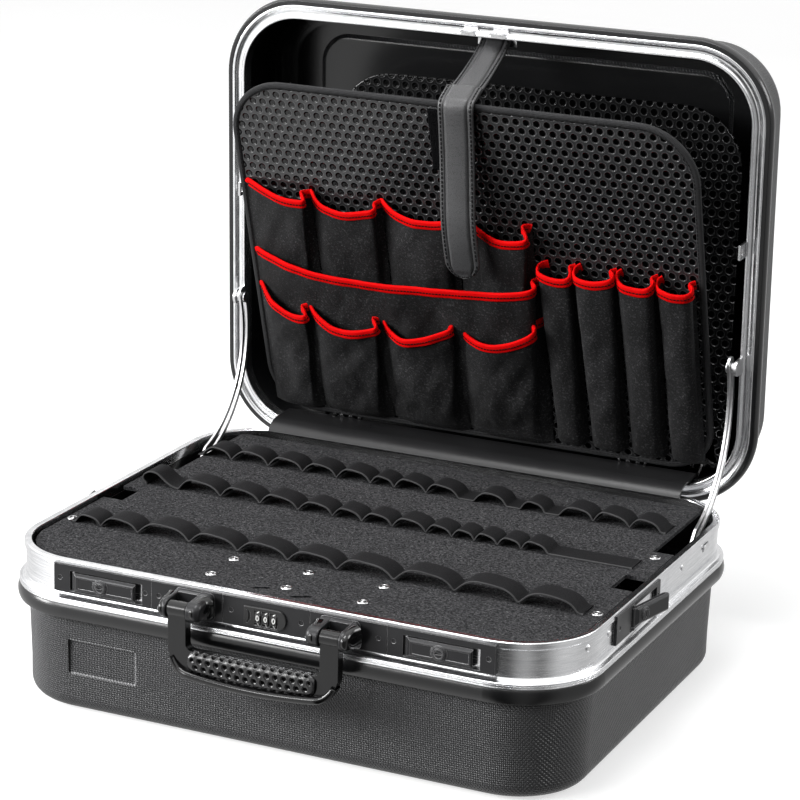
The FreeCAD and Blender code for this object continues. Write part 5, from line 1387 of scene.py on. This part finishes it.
def build_lugs():
    """rounded fairings on both sides of each handle arm"""
    bag = Bag()
    for s_ in (-1, 1):
        for xs, dirn, big in ((54.35, -1, 1.0), (69.85, 1, 0.74)):
            # (y, width, half height, centre z)
            st = [(-195.3, 15.5 * big, 9.6, 110.2), (-197.0, 14.6 * big, 9.3, 110.3), (-200.0, 12.8 * big, 8.9, 110.6), (-203.5, 11.6 * big, 8.3, 110.9), (-207.0, 11.4 * big, 7.6, 111.0),
                  (-210.0, 11.3 * big, 7.0, 111.0), (-213.0, 10.2 * big, 6.0, 111.0), (-215.2, 8.0 * big, 4.4, 111.0), (-216.4, 5.0 * big, 2.6, 111.0), (-216.9, 1.6 * big, 0.9, 111.0)]
            n = 28
            rings = []
            for y, w, h, zc in st:
                ring = []
                for j in range(n):
                    a = TAU * j / n
                    ca, sa = math.cos(a), math.sin(a)
                    x = xs + dirn * (w / 2 + w / 2 * math.copysign(abs(ca) ** 0.85, ca))
                    if y < -208:
                        x = xs + dirn * (min(11.3 * big, 11.3 * big) / 2 + w / 2 * math.copysign(abs(ca) ** 0.9, ca))
                    z = zc + h * math.copysign(abs(sa) ** 0.85, sa)
                    ring.append((s_ * x, y, z))
                rings.append(ring)
            V = np.array(rings).reshape(-1, 3) * MM
            F = grid_faces(len(st), n, False, True) + [tuple(range(n)), tuple((len(st) - 1) * n + q for q in range(n))]
            bag.add(V, F, V[:, :2])
    ob = bag.make("handle_lugs", ("gloss",))
    fix_normals(ob)
    sub = ob.modifiers.new("s", "SUBSURF")
    sub.levels = sub.render_levels = 2
    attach(ob, "base")


def build_rivets():
    bag = Bag()
    spots = [(x, y) for x in (-65.0, -2.0, 60.5) for y in (-155.0, -118.3)] + [(s_ * 220.5, -95.0) for s_ in (-1, 1)] + [(s_ * 215.5, 40.0) for s_ in (-1, 1)]
    for x, y in spots:
        n = 26
        prof = [(4.5, 0.0), (4.5, 0.35), (4.2, 0.75), (3.5, 0.98), (2.6, 1.05), (2.5, 0.80), (1.9, 0.78), (1.75, 1.12), (0.8, 1.2)]
        V = []
        for r, z in prof:
            for j in range(n):
                a = TAU * j / n
                V.append((x + r * math.cos(a), y + r * math.sin(a), TOP + z))
        F = grid_faces(len(prof), n, False, True) + [tuple(reversed(range(n))), tuple((len(prof) - 1) * n + q for q in range(n))]
        V = np.array(V) * MM
        bag.add(V, F, V[:, :2], 0)
        # three dark strips across the head stand for notches; their dark colour is painted shade in the notches
        t0 = rnd.uniform(-0.5, 0.5)
        for off in (-1.1, 0.0, 1.1):
            c, d = math.cos(t0), math.sin(t0)
            px, py = x - d * off, y + c * off
            q = math.sqrt(max(0.1, 2.4 ** 2 - off * off))
            P = np.array([(px - c * q, py - d * q, TOP + 1.16), (px, py, TOP + 1.22), (px + c * q, py + d * q, TOP + 1.16)])
            V, F, UV = sweep(P * MM, np.tile((-d, c, 0), (3, 1)), np.tile((0, 0, 1.0), (3, 1)), np.array(round_sec(0.42, 0.2, 0.09, 2)) * MM)
            bag.add(V, F, UV, 1)
    ob = bag.make("felt_rivets", ("rivet", "thread_grey"))
    fix_normals(ob)
    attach(ob, "tool_tray")
    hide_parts("board_rivets")


build_grip()
build_lugs()
build_rivets()


# ------------------------------------------------------------------ stage, light
def build_stage():
    # wide pale floor that curls up far behind
    n = 40
    prof = [(-6.0, 0.0), (3.0, 0.0)] + [(3.0 + 1.6 * math.sin(a), 1.6 - 1.6 * math.cos(a)) for a in np.linspace(0.05, 1.45, 14)]
    V, F = [], []
    for y, z in prof:
        V += [(-7.0, y, z - 0.0005), (7.0, y, z - 0.0005)]
    for i in range(len(prof) - 1):
        F.append((2 * i, 2 * i + 1, 2 * i + 3, 2 * i + 2))
    s = Sh("floor_pale", Metallic=0.0)
    nz = s.noise(s.obj(), 3.0, 3.0)
    s.color(s.mixc(nz, (0.50, 0.50, 0.50), (0.53, 0.53, 0.53)))
    s.b.inputs["Emission Color"].default_value = (1, 1, 1, 1)
    s.b.inputs["Emission Strength"].default_value = 0.62
    s.rough(s.span(nz, 0.3, 0.7, 0.75, 0.85))
    M["floor"] = s.m
    fl = make("floor", V, F, None, ("floor",))
    fl.visible_glossy = False
    fl.visible_diffuse = False

    w = bpy.data.worlds.new("world")
    bpy.context.scene.world = w
    w.use_nodes = True
    nt = w.node_tree
    nt.nodes.clear()
    out = nt.nodes.new("ShaderNodeOutputWorld")
    bg = nt.nodes.new("ShaderNodeBackground")
    tc = nt.nodes.new("ShaderNodeTexCoord")
    sp = nt.nodes.new("ShaderNodeSeparateXYZ")
    nt.links.new(tc.outputs["Generated"], sp.inputs[0])
    at = nt.nodes.new("ShaderNodeMath")
    at.operation = "ARCTAN2"
    nt.links.new(sp.outputs[1], at.inputs[0])
    nt.links.new(sp.outputs[0], at.inputs[1])
    mp = nt.nodes.new("ShaderNodeMapRange")
    mp.inputs[1].default_value = -math.pi
    mp.inputs[2].default_value = math.pi
    nt.links.new(at.outputs[0], mp.inputs[0])
    rp = nt.nodes.new("ShaderNodeValToRGB")
    rp.color_ramp.interpolation = "B_SPLINE"
    stops = [(-180, 0.95), (-150, 1.30), (-128, 1.40), (-117, 1.25), (-110, 0.80), (-104, 0.16), (-97, 0.02), (-82, 0.02), (-72, 0.28), (-58, 0.50), (-46, 0.22), (-36, 0.10),
             (-24, 0.40), (-10, 0.66), (14, 0.62), (30, 0.50), (65, 0.60), (90, 0.86), (130, 0.84), (180, 0.95)]
    el = rp.color_ramp.elements
    while len(el) > 1:
        el.remove(el[0])
    for i, (a, b) in enumerate(stops):
        e = el[0] if i == 0 else el.new((a + 180) / 360)
        e.position = (a + 180) / 360
        e.color = (b / 1.4, b / 1.4, b / 1.4, 1)
    nt.links.new(mp.outputs[0], rp.inputs[0])
    up = nt.nodes.new("ShaderNodeMapRange")
    up.interpolation_type = "SMOOTHSTEP"
    for i, v in enumerate((0.32, 0.66, 0.0, 1.0)):
        up.inputs[i + 1].default_value = v
    nt.links.new(sp.outputs[2], up.inputs[0])
    ov = nt.nodes.new("ShaderNodeMix")
    ov.data_type = "RGBA"
    ov.inputs[7].default_value = (1.25, 1.25, 1.25, 1)
    nt.links.new(up.outputs[0], ov.inputs[0])
    nt.links.new(rp.outputs[0], ov.inputs[6])
    bg.inputs[1].default_value = 1.42
    nt.links.new(ov.outputs[2], bg.inputs[0])
    soft = nt.nodes.new("ShaderNodeBackground")
    nt.links.new(ov.outputs[2], soft.inputs[0])
    soft.inputs[1].default_value = 0.30
    white = nt.nodes.new("ShaderNodeBackground")
    white.inputs[0].default_value = (1, 1, 1, 1)
    white.inputs[1].default_value = 1.0
    lp = nt.nodes.new("ShaderNodeLightPath")
    m0 = nt.nodes.new("ShaderNodeMixShader")
    nt.links.new(lp.outputs["Is Glossy Ray"], m0.inputs[0])
    nt.links.new(soft.outputs[0], m0.inputs[1])
    nt.links.new(bg.outputs[0], m0.inputs[2])
    mx = nt.nodes.new("ShaderNodeMixShader")
    nt.links.new(lp.outputs["Is Camera Ray"], mx.inputs[0])
    nt.links.new(m0.outputs[0], mx.inputs[1])
    nt.links.new(white.outputs[0], mx.inputs[2])
    nt.links.new(mx.outputs[0], out.inputs[0])

    def area(name, loc, aim, size, power, size_y=None):
        d = bpy.data.lights.new(name, "AREA")
        d.energy = power
        d.shape = "RECTANGLE"
        d.size = size
        d.size_y = size_y or size
        ob = bpy.data.objects.new(name, d)
        COL.objects.link(ob)
        ob.location = loc
        ob.rotation_euler = (Vector(aim) - Vector(loc)).to_track_quat("-Z", "Y").to_euler()
        return ob
    area("key_left", (-2.5, -1.45, 1.15), (0, 0, 0.15), 1.2, 118.0)
    area("top", (-0.15, -0.35, 2.3), (0, 0.1, 0.2), 1.1, 40.0)
    area("right", (2.2, 1.2, 1.3), (0.1, 0.0, 0.1), 0.9, 22.0)
    area("front_fill", (-1.5, -2.3, 1.3), (0, 0.1, 0.3), 0.8, 24.0)
    area("strip_front", (-1.04, -1.74, 0.93), (-0.13, 0.26, 0.458), 1.5, 4.5, 0.07)


build_stage()
vs = bpy.context.scene.view_settings
vs.view_transform = "Standard"
vs.look = "None"
vs.exposure = 0.0
vs.gamma = 1.0
